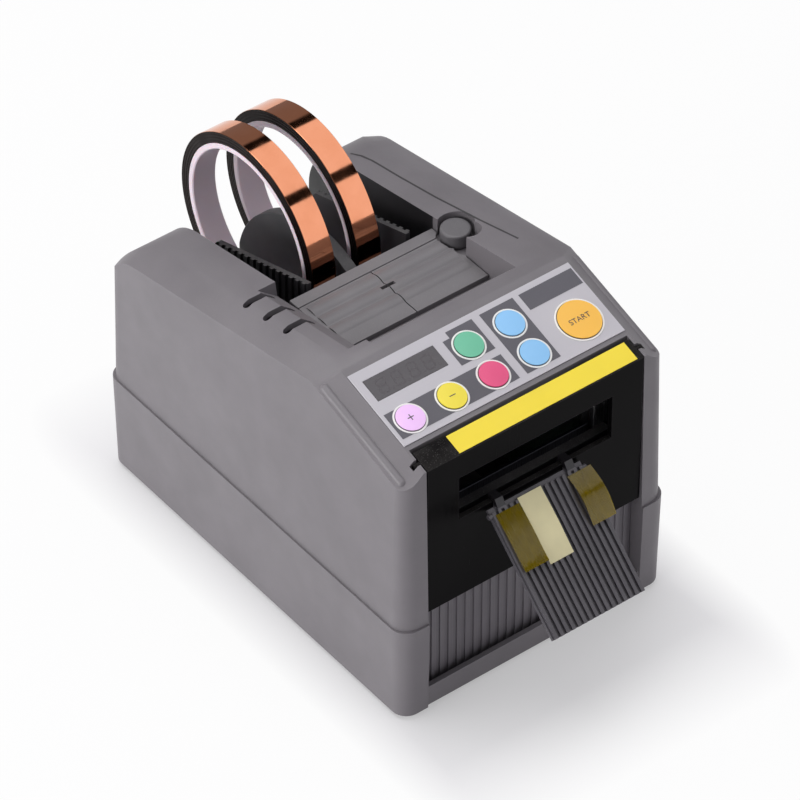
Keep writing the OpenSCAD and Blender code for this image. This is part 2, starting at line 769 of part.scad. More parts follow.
// A block with rounded, leaning corners, d inside its faces
module leaning_block(w, l, front, low, h, r, lean, d) {
    cx = w / 2 - r;
    cy0 = front + r;
    cy1 = front + l - r;
    r0 = r - d;
    r1 = r0 - h * tan(lean);
    for (x = [-cx, cx], y = [cy0, cy1]) translate([x, y, low]) cylinder(h = h, r1 = r0, r2 = r1);
    along_from(cy0, cy1 - cy0)
        polygon([[-cx - r0, low], [cx + r0, low], [cx + r1, low + h], [-cx - r1, low + h]]);
    across(2 * cx)
        polygon([[cy0 - r0, low], [cy1 + r0, low], [cy1 + r1, low + h], [cy0 - r1, low + h]]);
}

// Side view of the upper case, d inside its faces
module case_outline(d) {
    polygon([
        [-tall, 0], [-tall, panel_z(-tall, d)],
        ridge_c + (peak_r - d) * [-sin(panel_slope), cos(panel_slope)],
        ridge_c + (peak_r - d) * [sin(rear_slope), cos(rear_slope)],
        [hump_y, hump_z] + (hump_r - d) * [sin(rear_slope), cos(rear_slope)],
        [hump_y + hump_r - d, hump_z], [hump_y + hump_r + tall * tan(upper_lean), 0]
    ]);
    translate(ridge_c) circle(peak_r - d);
    translate([hump_y, hump_z]) circle(hump_r - d);
}

// What the chamfer along one side housing takes away, d inside the case; it turns over the hump and runs out
module chamfer_cut(d) {
    inner = case_w / 2 - chamfer_inset;
    outer = case_w / 2 + cut;
    drop = (outer - inner) * tan(chamfer_slope);
    on_fall() translate([0, -peak_r, -d]) along_from(0, peak_r + fall_len + chamfer_fade)
        polygon([[inner, 0], [outer, -drop], [outer, peak_r], [inner, peak_r]]);
    intersection() {
        translate([0, hump_y + chamfer_fade * cos(rear_slope), hump_z - chamfer_fade * sin(rear_slope)])
            rotate([90, 0, 90]) rotate_extrude() polygon([[hump_r - d, inner], [hump_r - d - drop, outer],
                [hump_r + peak_r, outer], [hump_r + peak_r, inner]]);
        on_fall() translate([0, fall_len + chamfer_fade, -hump_r])
            cube([case_w, hump_r + peak_r, hump_r + peak_r]);
    }
}

// How far a shoulder lies below the panel at a place across
function shoulder_fall(x) = (x - shoulder_x) * tan(shoulder_slope);

// What the shoulder along one side of the panel takes away, d inside the case; it runs out behind the ridge
module shoulder_cut(d) {
    outer = case_w / 2 + cut;
    on_panel() translate([0, 0, -d]) along_from(-peak_r, peak_y + 2 * peak_r)
        polygon([[shoulder_x, 0], [outer, -shoulder_fall(outer)], [outer, peak_r], [shoulder_x, peak_r]]);
}

// The shelf, guide pocket and tape bay, grown by d
module bay_cut(d) {
    start = [peak_y + shelf_start, fall_z(peak_y + shelf_start)];
    foot = [shelf_y, pocket_z];
    slant = atan2(start[1] - foot[1], foot[0] - start[0]);
    knee = shelf_y - d * tan(slant / 2);
    across(bay_w + 2 * d) polygon([
        [knee - (tall - pocket_z) / tan(slant), tall - d], [knee, pocket_z - d],
            [bay_front_y - d, pocket_z - d],
        [bay_front_y - d, 0], [case_l - wall - case_step + d, 0],
            [case_l - wall - case_step + d, bay_back_z - d],
        [case_l + tall, bay_back_z - d], [case_l + tall, tall]
    ]);
}

// The scoop that lets a hand reach the left guide, d below its face
module scoop_cut(d) {
    far = bay_w / 2 + scoop_w;
    on_fall() translate([0, scoop_start - d, -d]) along_from(0, scoop_len - scoop_start + 2 * d)
        polygon([[-far, 0], [-bay_w / 2 + cut + d, -scoop_drop * (scoop_w + cut + d) / scoop_w],
            [-bay_w / 2 + cut + d, peak_r], [-far, peak_r]]);
}

// The pocket that holds the guide knob, grown by d
module knob_cut(d) {
    translate([knob_x, knob_y, pocket_z - d]) cylinder(h = tall, r = knob_r + knob_gap + d);
    translate([knob_x, knob_y - knob_r - knob_gap, pocket_z - d]) cylinder(h = tall, r = knob_scoop_r + d);
}

module upper_solid(d) {
    difference() {
        intersection() {
            leaning_block(upper_w, upper_l, case_step, parting_z - (d > 0 ? cut : 0),
                peak_z - parting_z + peak_r, corner_r, upper_lean, d);
            across(tall) case_outline(d);
        }
        chamfer_cut(d);
        mirror([1, 0, 0]) chamfer_cut(d);
        shoulder_cut(d);
        mirror([1, 0, 0]) shoulder_cut(d);
        bay_cut(d);
        scoop_cut(d);
        knob_cut(d);
    }
}

// The four screw places of the two cases
module at_screws() {
    for (x = [-1, 1], y = [pillar_d + post_r + post_gap, screw_rear_y])
        translate([x * (case_w / 2 - screw_inset), y, 0]) children();
}

module lower_case() color(case_grey) difference() {
    union() {
        difference() {
            lower_block();
            leaning_block(case_w, case_l, 0, floor_z, tall, corner_r, 0, wall + lower_draft);
            translate([-opening_w / 2, -cut, lip_z]) cube([opening_w, pillar_d + cut, tall]);
            translate([-opening_w / 2, -cut, -cut]) cube([opening_w, lip_inset + cut, tall]);
        }
        for (x = [-1, 1]) intersection() {
            lower_block();
            translate([x > 0 ? opening_w / 2 : -opening_w / 2 - pillar_w - cut, 0, 0])
                cube([pillar_w + cut, pillar_d, tall]);
        }
        translate([-opening_w / 2, lip_inset, foot_h]) cube([opening_w, wall, lip_z - foot_h]);
        at_screws() translate([0, 0, foot_h]) cylinder(h = parting_z - foot_h, r = post_r);
        cradle_posts();
        frame_posts();
        board_posts();
    }
    at_screws() {
        cylinder(h = tall, r = screw_r + fit_gap);
        cylinder(h = foot_h + screw_head_h + wall, r = screw_head_r + fit_gap);
    }
    translate([inlet_x - inlet_w / 2, case_l - 2 * wall, inlet_z - inlet_w / 2])
        cube([inlet_w, 3 * wall, inlet_w]);
    translate([-inlet_x - inlet_w / 2, case_l - 2 * wall, inlet_z - switch_body_h / 2])
        cube([inlet_w, 3 * wall, switch_body_h]);
}

// The lower case block, which leans out towards the parting line
module lower_block() translate([0, 0, parting_z]) mirror([0, 0, 1])
    leaning_block(case_w, case_l, 0, 0, parting_z - foot_h, corner_r, lower_lean, 0);

module cradle_posts() {
    for (x = [-1, 1], y = [cradle_front + post_r + post_gap, screw_rear_y])
        translate([x * (bay_w / 2 - cradle_gap - post_r), y, foot_h])
            cylinder(h = cradle_z - foot_h, r = post_r);
}

module frame_posts() {
    for (x = [-1, 1], y = [frame_foot_y + post_r, frame_rear - frame_post_inset])
        translate([x * (frame_w / 2 + frame_t + post_r), y, foot_h])
            cylinder(h = frame_low_z - foot_h, r = post_r);
}

module board_posts() {
    for (x = [-1, 1], y = [main_board_front + post_r, main_board_front + main_board_l - post_r])
        translate([x * (main_board_w / 2 - post_r), y, foot_h])
            cylinder(h = main_board_z - foot_h, r = post_r);
}

module upper_case() color(case_grey) difference() {
    union() {
        difference() {
            upper_solid(0);
            upper_solid(wall);
        }
        for (x = [-1, 1]) intersection() {
            upper_solid(0);
            translate([x > 0 ? opening_w / 2 : -opening_w / 2 - pillar_w, 0, 0])
                cube([pillar_w, pillar_d, tall]);
        }
        upper_posts();
        control_posts();
        for (x = [-1, 1]) shoulder_bead(x);
        intersection() {
            upper_solid(0);
            translate([knob_x, knob_y, pocket_z - knob_stem_len]) cylinder(h = knob_stem_len, r = post_r);
        }
    }
    translate([-opening_w / 2, -cut, 0]) cube([opening_w, deck_front + cut, tall]);
    translate([-tape_slot_w / 2, bay_front_y - 2 * wall, pocket_z - wall - tape_slot_h])
        cube([tape_slot_w, 3 * wall, tape_slot_h]);
    translate([-tape_slot_w / 2, shelf_y + 2 * wall, pocket_z - 2 * wall])
        cube([tape_slot_w, bay_front_y - shelf_y - 4 * wall, 3 * wall]);
    for (x = [-1, 1]) hinge_slot(x);
    at_screws() cylinder(h = parting_z + screw_grip, r = screw_r);
    on_panel() {
        for (k = small_keys) translate([k[0], k[1], -tall / 4])
            cylinder(h = tall / 2, r = key_stem_r + run_gap);
        translate([start_x, start_u, -tall / 4]) cylinder(h = tall / 2, r = key_stem_r + run_gap);
        translate([display_left + lens_ledge, display_low + lens_ledge, -2 * wall])
            cube([display_w - 2 * lens_ledge, display_h - 2 * lens_ledge, 4 * wall]);
    }
    louvres();
    translate([knob_x, knob_y, 0]) cylinder(h = tall, r = knob_stem_r + run_gap);
}

// The open slot in a pillar that a hinge pin drops into
module hinge_slot(side) {
    hinge_z = panel_z(hinge_y) - hinge_drop;
    slot_r = hinge_pin_r + run_gap;
    slot_l = hinge_pin_len + cover_gap;
    x = side > 0 ? opening_w / 2 - cut : -opening_w / 2 - slot_l;
    bar([hinge_y, hinge_z], slot_r, x, slot_l + cut);
    translate([x, hinge_y - slot_r, hinge_z]) cube([slot_l + cut, 2 * slot_r, tall]);
}

// The posts that the case screws bite into, each joined to the side wall
module upper_posts() intersection() {
    upper_solid(0);
    union() {
        at_screws() translate([0, 0, parting_z]) cylinder(h = screw_grip + wall, r = post_r);
        for (x = [-1, 1], y = [pillar_d + post_r + post_gap, screw_rear_y])
            translate([x > 0 ? case_w / 2 - screw_inset : -case_w / 2, y - wall / 2, parting_z])
                cube([screw_inset, wall, screw_grip + wall]);
    }
}

// The posts under the deck that carry the control board
module control_posts() on_panel()
    for (x = [-1, 1], u = [overlay_low + control_post_r, overlay_high - control_post_r])
        translate([x * (overlay_w / 2 - control_post_r), u, -board_depth])
            cylinder(h = board_depth - wall / 2, r = control_post_r);

// A rounded bead along one shoulder of the panel
module shoulder_bead(side) {
    out = upper_w / 2 - bead_inset;
    on_panel() translate([side * out, bead_start, -bead_drop - shoulder_fall(out)]) {
        rotate([-90, 0, 0]) cylinder(h = bead_len, r = bead_r);
        sphere(bead_r);
        translate([0, bead_len, 0]) sphere(bead_r);
    }
}

// One louvre slot with round ends
module louvre() {
    end_r = louvre_w / 2;
    deep = 3 * scoop_drop;
    translate([end_r, 0, 0]) cube([louvre_len - louvre_w, louvre_w, deep]);
    for (x = [end_r, louvre_len - end_r]) translate([x, end_r, 0]) cylinder(h = deep, r = end_r);
}

// The louvre slots beside and across the scoop
module louvres() {
    on_fall() for (i = [0 : louvre_count - 1])
        translate([-bay_w / 2 - scoop_w - louvre_reach, scoop_len - louvre_end - i * louvre_pitch,
            -2 * scoop_drop]) louvre();
}

module front_grille() color(case_grey) {
    w = opening_w - 2 * fit_gap;
    front = pillar_d - fit_gap - grille_t;
    ribs = floor((w - grille_pitch) / grille_pitch);
    translate([-w / 2, front, floor_z]) cube([w, grille_t, grille_top_z - floor_z]);
    for (i = [0 : ribs])
        translate([(i - ribs / 2) * grille_pitch - grille_pitch / 4, front - grille_rib, floor_z])
            cube([grille_pitch / 2, grille_rib + fit_gap, grille_top_z - floor_z]);
}

module rubber_feet() color(dark_grey)
    for (x = [-1, 1], y = [foot_end_inset, case_l - foot_end_inset])
        translate([x * (case_w / 2 - foot_inset), y, 0])
            cylinder(h = foot_h, r1 = foot_r - foot_taper, r2 = foot_r);

module case_screws() color(steel) at_screws() {
    seat = floor_z;
    translate([0, 0, seat]) cylinder(h = screw_head_h, r = screw_head_r);
    translate([0, 0, seat + screw_head_h])
        cylinder(h = parting_z + screw_grip - seat - screw_head_h, r = screw_r);
}

module key_holes(extra) {
    for (k = small_keys) translate([k[0], k[1], -cut]) cylinder(h = tall, r = key_r + extra);
    translate([start_x, start_u, -cut]) cylinder(h = tall, r = start_r + extra);
}

module panel_overlay() color(overlay_grey) on_panel() difference() {
    translate([-overlay_w / 2, overlay_low, 0]) cube([overlay_w, overlay_high - overlay_low, overlay_t]);
    key_holes(key_gap);
    translate([display_left, display_low, -cut]) cube([display_w, display_h, tall]);
}

// One printed field from a lower left to an upper right corner
module field(low, high) translate([low[0], low[1], overlay_t])
    cube([high[0] - low[0], high[1] - low[1], field_t]);

// The dark printed fields round the keys, and the bare plate at the right
module panel_fields() color(dark_grey) on_panel() difference() {
    union() {
        field([key_x(0) - field_reach, key_low_u - field_low],
            [key_x(2) + field_reach, key_low_u + field_low]);
        field([key_x(2) - field_reach, key_high_u - field_low],
            [key_x(2) + field_reach, key_high_u + field_low]);
        field([key_x(2) - field_reach + field_notch, key_high_u],
            [key_x(2) + field_reach, key_high_u + field_high]);
        field([key_x(3) - field_reach, key_low_u - field_low],
            [key_x(3) + field_reach, key_high_u + field_high]);
        field([plate_left, plate_low], [plate_left + plate_w, plate_low + plate_h]);
    }
    key_holes(key_gap + key_rim + fit_gap);
}

module key_ring(at, r) translate([at[0], at[1], overlay_t]) difference() {
    cylinder(h = key_rim_h, r = r + key_gap + key_rim);
    translate([0, 0, -cut]) cylinder(h = tall, r = r + key_gap);
}

module key_rims() color(white) on_panel() {
    for (k = small_keys) key_ring(k, key_r);
    key_ring(start_key_at, start_r);
}

module key(at, r) on_panel() translate([at[0], at[1], 0]) {
    under = key_travel + key_rest_gap;
    stem = board_depth - switch_h - under;
    translate([0, 0, under]) cylinder(h = key_cap_t, r = r);
    translate([0, 0, -stem]) cylinder(h = stem + under + fit_gap, r = key_stem_r);
}

module plus_key() color(lilac) key(small_keys[0], key_r);
module minus_key() color(key_yellow) key(small_keys[1], key_r);
module pink_key() color(key_pink) key(small_keys[2], key_r);
module green_key() color(key_green) key(small_keys[3], key_r);
module upper_blue_key() color(key_blue) key(small_keys[4], key_r);
module lower_blue_key() color(key_blue) key(small_keys[5], key_r);
module start_key() color(key_orange) key(start_key_at, start_r);

module display_lens() color(lens_black) on_panel()
    translate([display_left + fit_gap, display_low + fit_gap, 0])
        cube([display_w - 2 * fit_gap, display_h - 2 * fit_gap, overlay_t]);

display_inset = lens_ledge + fit_gap;

module display_module() color(dark_grey) on_panel()
    translate([display_left + display_inset, display_low + display_inset, -board_depth])
        cube([display_w - 2 * display_inset, display_h - 2 * display_inset, board_depth - display_gap]);

module control_board() color(board_green) on_panel()
    translate([-overlay_w / 2, overlay_low, -board_depth - board_t])
        cube([overlay_w, overlay_high - overlay_low, board_t]);

module key_switches() color(dark_grey) on_panel()
    for (k = concat(small_keys, [start_key_at]))
        translate([k[0] - switch_w / 2, k[1] - switch_w / 2, -board_depth])
        cube([switch_w, switch_w, switch_h]);

// Side view of a cradle side plate
module cradle_side_outline() difference() {
    polygon([[cradle_front, cradle_top], [cradle_back, cradle_top], [cradle_back, cradle_back_z],
        [cradle_mid_y, cradle_mid_z], [cradle_front, cradle_front_z]]);
    translate(front_support) circle(support_pin_r + run_gap);
    translate(rear_support) circle(support_pin_r + run_gap);
}

module roll_cradle() color(smoked) {
    half = bay_w / 2 - cradle_gap;
    side = cradle_w / 2;
    ribs = floor((cradle_back - cradle_front - 2 * cradle_rib_edge) / cradle_rib_pitch);
    translate([-half, cradle_front, cradle_z]) cube([2 * half, cradle_back - cradle_front, cradle_floor_t]);
    for (x = [side, -side - cradle_t]) across_from(x, cradle_t) cradle_side_outline();
    for (x = [side + cradle_t, -side - cradle_t - cradle_rib]) intersection() {
        across_from(x, cradle_rib) cradle_side_outline();
        for (i = [0 : ribs])
            translate([x, cradle_front + cradle_rib_edge + i * cradle_rib_pitch, cradle_top])
                cube([cradle_rib, cradle_rib_pitch / 2, tall]);
    }
    translate([-side, cradle_front, cradle_top]) cube([2 * side, cradle_t, cradle_wall_z - cradle_top]);
    translate([-side, cradle_back - cradle_t, cradle_top])
        cube([2 * side, cradle_t, bay_back_z + cradle_rear_rise - cradle_top]);
}

module support_roller(at) {
    bar(at, support_r, -cradle_w / 2 + support_end_gap, cradle_w - 2 * support_end_gap);
    bar(at, support_pin_r, -cradle_w / 2 - cradle_t, cradle_w + 2 * cradle_t);
}

module front_support_roller() color(steel) support_roller(front_support);
module rear_support_roller() color(steel) support_roller(rear_support);

// The dark partition that keeps the two rolls apart
module roll_divider() color(dark_grey) across(divider_t) difference() {
    intersection() {
        translate(front_support) circle(divider_r);
        translate([cradle_front + cradle_t, cradle_top])
            square([cradle_back - cradle_front - 2 * cradle_t, tall]);
    }
    translate(front_support) circle(support_r + divider_gap);
    translate(rear_support) circle(support_r + divider_gap);
}

// One ring of a tape roll, about the middle place x
module roll_ring(x, outer, inner) across_from(x - tape_w / 2, tape_w)
    translate([roll_y, roll_z]) difference() {
        circle(outer);
        circle(inner);
    }

module left_tape_core() color(white) roll_ring(-roll_pitch / 2, core_r, core_bore_r);
module right_tape_core() color(white) roll_ring(roll_pitch / 2, core_r, core_bore_r);
module left_tape_winding() color(copper) roll_ring(-roll_pitch / 2, roll_r, core_r);
module right_tape_winding() color(copper) roll_ring(roll_pitch / 2, roll_r, core_r);

// Radius of a low rib, from its width and its rise
guide_rib_r = (guide_rib_w * guide_rib_w / 4 + guide_rib_h * guide_rib_h) / (2 * guide_rib_h);

// A guide plate from x to x + w, with low rounded ribs from rib_x to short of its outer side
module guide_plate(x, w, rib_x) {
    front = shelf_y + guide_gap;
    rear = bay_front_y - guide_strip_d - guide_gap;
    face_z = pocket_z + guide_t;
    translate([x, front, pocket_z]) cube([w, rear - front, guide_t]);
    for (i = [0 : guide_rib_count - 1]) intersection() {
        translate([x, front, face_z - sink]) cube([w, rear - front, tall]);
        bar([front + guide_rib_start + i * guide_rib_pitch, face_z + guide_rib_h - guide_rib_r],
            guide_rib_r, rib_x, w - guide_rib_inset);
    }
}

// The notch cut across the seam of the two plates
module guide_notch()
    translate([-guide_gap - guide_notch_d, (shelf_y + bay_front_y) / 2, pocket_z + guide_t / 2])
        cube([2 * (guide_gap + guide_notch_d), guide_notch_w, tall]);

guide_half_w = bay_w / 2 - 1.5 * guide_gap;

module left_guide_plate() color(case_grey) difference() {
    guide_plate(-bay_w / 2 + guide_gap, guide_half_w, -bay_w / 2 + guide_gap + guide_rib_inset);
    guide_notch();
}

module right_guide_plate() color(case_grey) difference() {
    guide_plate(guide_gap / 2, guide_half_w, guide_gap / 2);
    guide_notch();
    translate([knob_x, knob_y, 0]) cylinder(h = tall, r = knob_r + knob_gap);
    translate([knob_x, knob_y - knob_r - knob_gap, 0]) cylinder(h = tall, r = knob_scoop_r);
}

module rear_guide_strip() color(case_grey) difference() {
    translate([-bay_w / 2 + guide_gap, bay_front_y - guide_strip_d, pocket_z])
        cube([bay_w - 2 * guide_gap, guide_strip_d, guide_t]);
    translate([knob_x, knob_y, 0]) cylinder(h = tall, r = knob_r + knob_gap);
}

module guide_knob() color(dark_grey) {
    translate([knob_x, knob_y, pocket_z + knob_seat_gap]) cylinder(h = knob_h, r = knob_r);
    translate([knob_x, knob_y, pocket_z - knob_stem_len])
        cylinder(h = knob_stem_len + knob_seat_gap + sink, r = knob_stem_r);
}

// A feed frame: a sheet side with a foot turned outwards
module feed_frame(side) difference() {
    union() {
        across_from(side > 0 ? frame_w / 2 : -frame_w / 2 - frame_t, frame_t)
            translate([frame_front, frame_low_z])
                square([frame_rear - frame_front, frame_top_z - frame_low_z]);
        translate([side > 0 ? frame_w / 2 : -frame_w / 2 - frame_t - 2 * post_r, frame_foot_y, frame_low_z])
            cube([frame_t + 2 * post_r, frame_rear - frame_foot_y, frame_t]);
    }
    bar([feed_y, feed_z], feed_shaft_r + run_gap, -tall / 2, tall);
    bar([feed_y, pressure_z], pressure_shaft_r + run_gap, -tall / 2, tall);
    if (side > 0) bar([pinion_y, pinion_z], motor_shaft_r + shaft_clear, -tall / 2, tall);
}

module left_feed_frame() color(steel) feed_frame(-1);
module right_feed_frame() color(steel) feed_frame(1);

module frame_tie_bars() color(steel)
    for (at = [upper_tie, lower_tie, front_tie]) bar(at, tie_r, -frame_w / 2, frame_w);

module motor_plate() color(steel) difference() {
    translate([-frame_w / 2, plate_y, crank_z - motor_plate_drop]) cube([frame_w, frame_t, motor_plate_h]);
    rod(crank_x, crank_z, motor_shaft_r + shaft_clear, 0, tall);
}

module roller_sleeve(at, r, bore) difference() {
    bar(at, r, -roller_len / 2, roller_len);
    bar(at, bore, -tall / 2, tall);
}

module feed_roller() color(dark_grey) roller_sleeve([feed_y, feed_z], feed_r, feed_shaft_r);
module pressure_roller() color(white) roller_sleeve([feed_y, pressure_z], pressure_r, pressure_shaft_r);
module feed_shaft() color(steel)
    bar([feed_y, feed_z], feed_shaft_r, -frame_w / 2 - frame_t, frame_w + 2 * frame_t + gear_gap + gear_w);
module pressure_shaft() color(steel)
    bar([feed_y, pressure_z], pressure_shaft_r, -frame_w / 2 - frame_t, frame_w + 2 * frame_t);

// A spur gear outline with straight flanks
module gear_outline(teeth, turn) {
    pitch_r = gear_module * teeth / 2;
    root_r = pitch_r - tooth_root * gear_module;
    tip_r = pitch_r + tooth_tip * gear_module;
    root_half = tooth_root_half * gear_module;
    tip_half = tooth_tip_half * gear_module;
    circle(root_r);
    for (i = [0 : teeth - 1]) rotate(turn + i * 360 / teeth)
        polygon([[root_r - gear_module / 2, -root_half], [root_r, -root_half], [tip_r, -tip_half],
            [tip_r, tip_half],
            [root_r, root_half], [root_r - gear_module / 2, root_half]]);
}

module feed_gear() color(white) across_from(gear_x, gear_w) translate([feed_y, feed_z]) difference() {
    gear_outline(gear_teeth, pinion_angle);
    circle(feed_shaft_r);
}

module motor_pinion() color(brass) {
    across_from(gear_x, gear_w) translate([pinion_y, pinion_z])
        gear_outline(pinion_teeth, pinion_angle + 180 + 180 / pinion_teeth);
    bar([pinion_y, pinion_z],
        motor_shaft_r, frame_w / 2 - shaft_grip, shaft_grip + frame_t + gear_gap + fit_gap);
}

module feed_motor() color(steel) difference() {
    bar([pinion_y, pinion_z], motor_r, frame_w / 2 - motor_len, motor_len);
    bar([pinion_y, pinion_z], motor_shaft_r + run_gap, frame_w / 2 - shaft_grip - shaft_clear, motor_len);
}

// Two bent strips that press the upper roller down, held by the rear tie bar
module pressure_springs() color(steel) {
    tip = [feed_y - leaf_tip, pressure_z + pressure_shaft_r + leaf_gap];
    seat = upper_tie + [0, tie_r + fit_gap];
    back = seat + [leaf_tip, 0];
    for (x = [-1, 1]) across_from(x * (roller_len / 2 + leaf_out) - leaf_w / 2, leaf_w)
        polygon([tip, seat, back, back + [0, leaf_t], seat + [0, leaf_t], tip + [0, leaf_t]]);
}

module fixed_blade() color(steel)
    translate([-blade_w / 2, blade_y - blade_gap - blade_t, fixed_edge_z - blade_h])
        cube([blade_w, blade_t, blade_h]);

module fixed_blade_bar() color(dark_grey) {
    low = fixed_edge_z - blade_h;
    end_w = rail_w - fit_gap;
    translate([-frame_w / 2, blade_bar_y, low]) cube([frame_w, blade_bar_d, blade_h - blade_show]);
    for (x = [-frame_w / 2, frame_w / 2 - end_w]) translate([x, blade_bar_y, low])
        cube([end_w, frame_front - blade_bar_y, blade_h - blade_show]);
}

module moving_blade() color(steel)
    translate([-blade_w / 2, blade_y, blade_edge_z]) cube([blade_w, blade_t, blade_h]);

// The frame that carries the moving blade, with a slot for the crank pin
module blade_carrier() color(dark_grey) along_from(carrier_y, carrier_t) difference() {
    translate([-carrier_w / 2, carrier_low_z]) square([carrier_w, carrier_top_z - carrier_low_z]);
    window_z = fixed_edge_z - blade_h - carrier_window;
    translate([-roller_len / 2, window_z]) square([roller_len, blade_edge_z + blade_show - window_z]);
    slot_h = crank_pin_r + crank_slack;
    slot_w = cut_travel / 2 + crank_pin_r + crank_side_gap;
    translate([crank_x - slot_w, crank_z + cut_travel / 2 - slot_h]) square([2 * slot_w, 2 * slot_h]);
}

module blade_rails() color(steel) for (x = [-1, 1]) difference() {
    low = carrier_low_z - cut_travel - carrier_margin;
    back = carrier_y + carrier_t + rail_gap + rail_back;
    groove_w = rail_grip + rail_gap + cut;
    translate([x > 0 ? frame_w / 2 - rail_w : -frame_w / 2, frame_front, low])
        cube([rail_w, back - frame_front, carrier_top_z - low]);
    translate([x > 0 ? frame_w / 2 - rail_w - cut : -carrier_w / 2 - rail_gap, carrier_y - rail_gap, 0])
        cube([groove_w, carrier_t + 2 * rail_gap, tall]);
}

module crank_disc() color(steel) {
    rod(crank_x, crank_z, crank_r, crank_y, crank_t);
    rod(crank_x, crank_z + cut_travel / 2, crank_pin_r, carrier_y + crank_pin_recess, crank_y - carrier_y);
    rod(crank_x, crank_z, motor_shaft_r, crank_y, crank_t + crank_back_gap + frame_t + shaft_grip);
}

module cutter_motor() color(steel) difference() {
    rod(crank_x, crank_z, motor_r, plate_y + frame_t, motor_len);
    rod(crank_x, crank_z, motor_shaft_r + run_gap, plate_y, frame_t + shaft_grip + shaft_clear);
}

module tape_sensor() color(smoked)
    translate([-sensor_w / 2, front_tie[0] - sensor_d / 2, front_tie[1] - tie_r - sensor_h])
        cube([sensor_w, sensor_d, sensor_h]);

// The switch under the fixed blade's bar that feels the closed cover
module cover_switch() color(smoked) {
    x = cover_switch_inset - blade_w / 2;
    low = fixed_edge_z - blade_h - fit_gap - cover_switch_h;
    reach = blade_bar_y - cover_inset - cover_t - plunger_gap;
    translate([x - cover_switch_w / 2, blade_bar_y, low]) cube([cover_switch_w, blade_bar_d, cover_switch_h]);
    rod(x, low + plunger_rise, plunger_r, blade_bar_y - reach, reach + sink);
}

module main_board() color(board_green) {
    translate([-main_board_w / 2, main_board_front, main_board_z])
        cube([main_board_w, main_board_l, board_t]);
    translate([0, main_board_front, main_board_z + board_t]) {
        for (i = [0, 1]) translate([capacitor_at[0] + i * capacitor_pitch, capacitor_at[1], 0])
            cylinder(h = capacitor_h, r = capacitor_r);
        translate([chip_at[0], chip_at[1], 0]) cube(chip_size);
        translate([coil_at[0], coil_at[1], 0]) cube(coil_size);
    }
}

module power_inlet() color(smoked) difference() {
    translate([inlet_x - inlet_w / 2 + fit_gap, case_l - inlet_d, inlet_z - inlet_w / 2 + fit_gap])
        cube([inlet_w - 2 * fit_gap, inlet_d + inlet_proud, inlet_w - 2 * fit_gap]);
    rod(inlet_x, inlet_z, inlet_bore_r, case_l + inlet_proud - inlet_bore_l, inlet_bore_l + cut);
}

rocker_w = inlet_w - 2 * rocker_rim;
rocker_h = switch_body_h - 2 * rocker_rim;
rocker_at = [case_l - rocker_pivot, inlet_z];

module power_switch() color(smoked) difference() {
    translate([-inlet_x - inlet_w / 2 + fit_gap, case_l - inlet_d, inlet_z - switch_body_h / 2 + fit_gap])
        cube([inlet_w - 2 * fit_gap, inlet_d + inlet_proud, switch_body_h - 2 * fit_gap]);
    pocket_w = rocker_w + 2 * rocker_gap;
    pocket_h = rocker_h + 2 * rocker_gap;
    translate([-inlet_x - pocket_w / 2, case_l - rocker_pocket, inlet_z - pocket_h / 2])
        cube([pocket_w, inlet_d, pocket_h]);
    socket_w = rocker_w + 2 * (rocker_pin_len + fit_gap);
    bar(rocker_at, rocker_pin_r + run_gap, -inlet_x - socket_w / 2, socket_w);
}

module power_rocker() color(smoked) {
    edge = rocker_h / 2 - rocker_gap;
    foot = edge - rocker_taper;
    across_from(-inlet_x - rocker_w / 2, rocker_w) translate([case_l, inlet_z])
        polygon([[-rocker_depth, -foot],
        [rocker_edge, -edge], [rocker_crown, 0], [rocker_edge, edge], [-rocker_depth, foot]]);
    bar(rocker_at, rocker_pin_r, -inlet_x - rocker_w / 2 - rocker_pin_len, rocker_w + 2 * rocker_pin_len);
}

cover_w = opening_w - 2 * cover_gap;

module front_cover() color(smoked) {
    back = cover_inset + cover_t;
    difference() {
        across(cover_w) polygon([[cover_inset, cover_low_z], [back, cover_low_z],
            [back, panel_z(back, cover_t)],
            [flange_y, panel_z(flange_y, cover_t)], [flange_y, panel_z(flange_y)],
                [cover_inset, panel_z(cover_inset)]]);
        translate([-window_w / 2, 0, window_low_z]) cube([window_w, back + cut, window_h]);
    }
    hinge_at = [hinge_y, panel_z(hinge_y) - hinge_drop];
    for (x = [-cover_w / 2 - hinge_pin_len, cover_w / 2 - hinge_root])
        bar(hinge_at, hinge_pin_r, x, hinge_pin_len + hinge_root);
}

// The plain yellow strip on the cover's flange
module flange_strip() color(strip_yellow) on_panel()
    translate([strip_left - cover_w / 2, (flange_y - strip_inset) / cos(panel_slope) - strip_d, strip_glue])
        cube([cover_w - strip_left - strip_right, strip_d, strip_t]);

module chute() color(dark_grey) {
    ribs = floor((chute_w - 2 * chute_edge) / chute_pitch);
    top_u = (cover_inset - chute_y) / cos(chute_slope) - (chute_t + chute_rib_h) * tan(chute_slope)
        - chute_gap;
    pin_x = chute_w / 2 + chute_pin_reach;
    on_chute() {
        translate([-chute_w / 2, -chute_len, -chute_t - chute_rib_h])
            cube([chute_w, chute_len + top_u, chute_t]);
        for (i = [0 : ribs])
            translate([(i - ribs / 2) * chute_pitch - chute_pitch / 4, -chute_len, -chute_rib_h - sink])
                cube([chute_pitch / 2, chute_len, chute_rib_h + sink]);
        for (x = [-pin_x, pin_x - chute_pin_len]) translate([x, -chute_pin_inset, -chute_rib_h])
            rotate([0, 90, 0]) cylinder(h = chute_pin_len, r = chute_pin_r);
    }
    for (x = [-chute_w / 2 + hook_inset, chute_w / 2 - hook_inset - hook_w]) difference() {
        chute_hook(chute_x + x, hook_w);
        translate([-tall / 2, cover_inset, cover_low_z]) cube([tall, cover_t, window_low_z - cover_low_z]);
    }
}

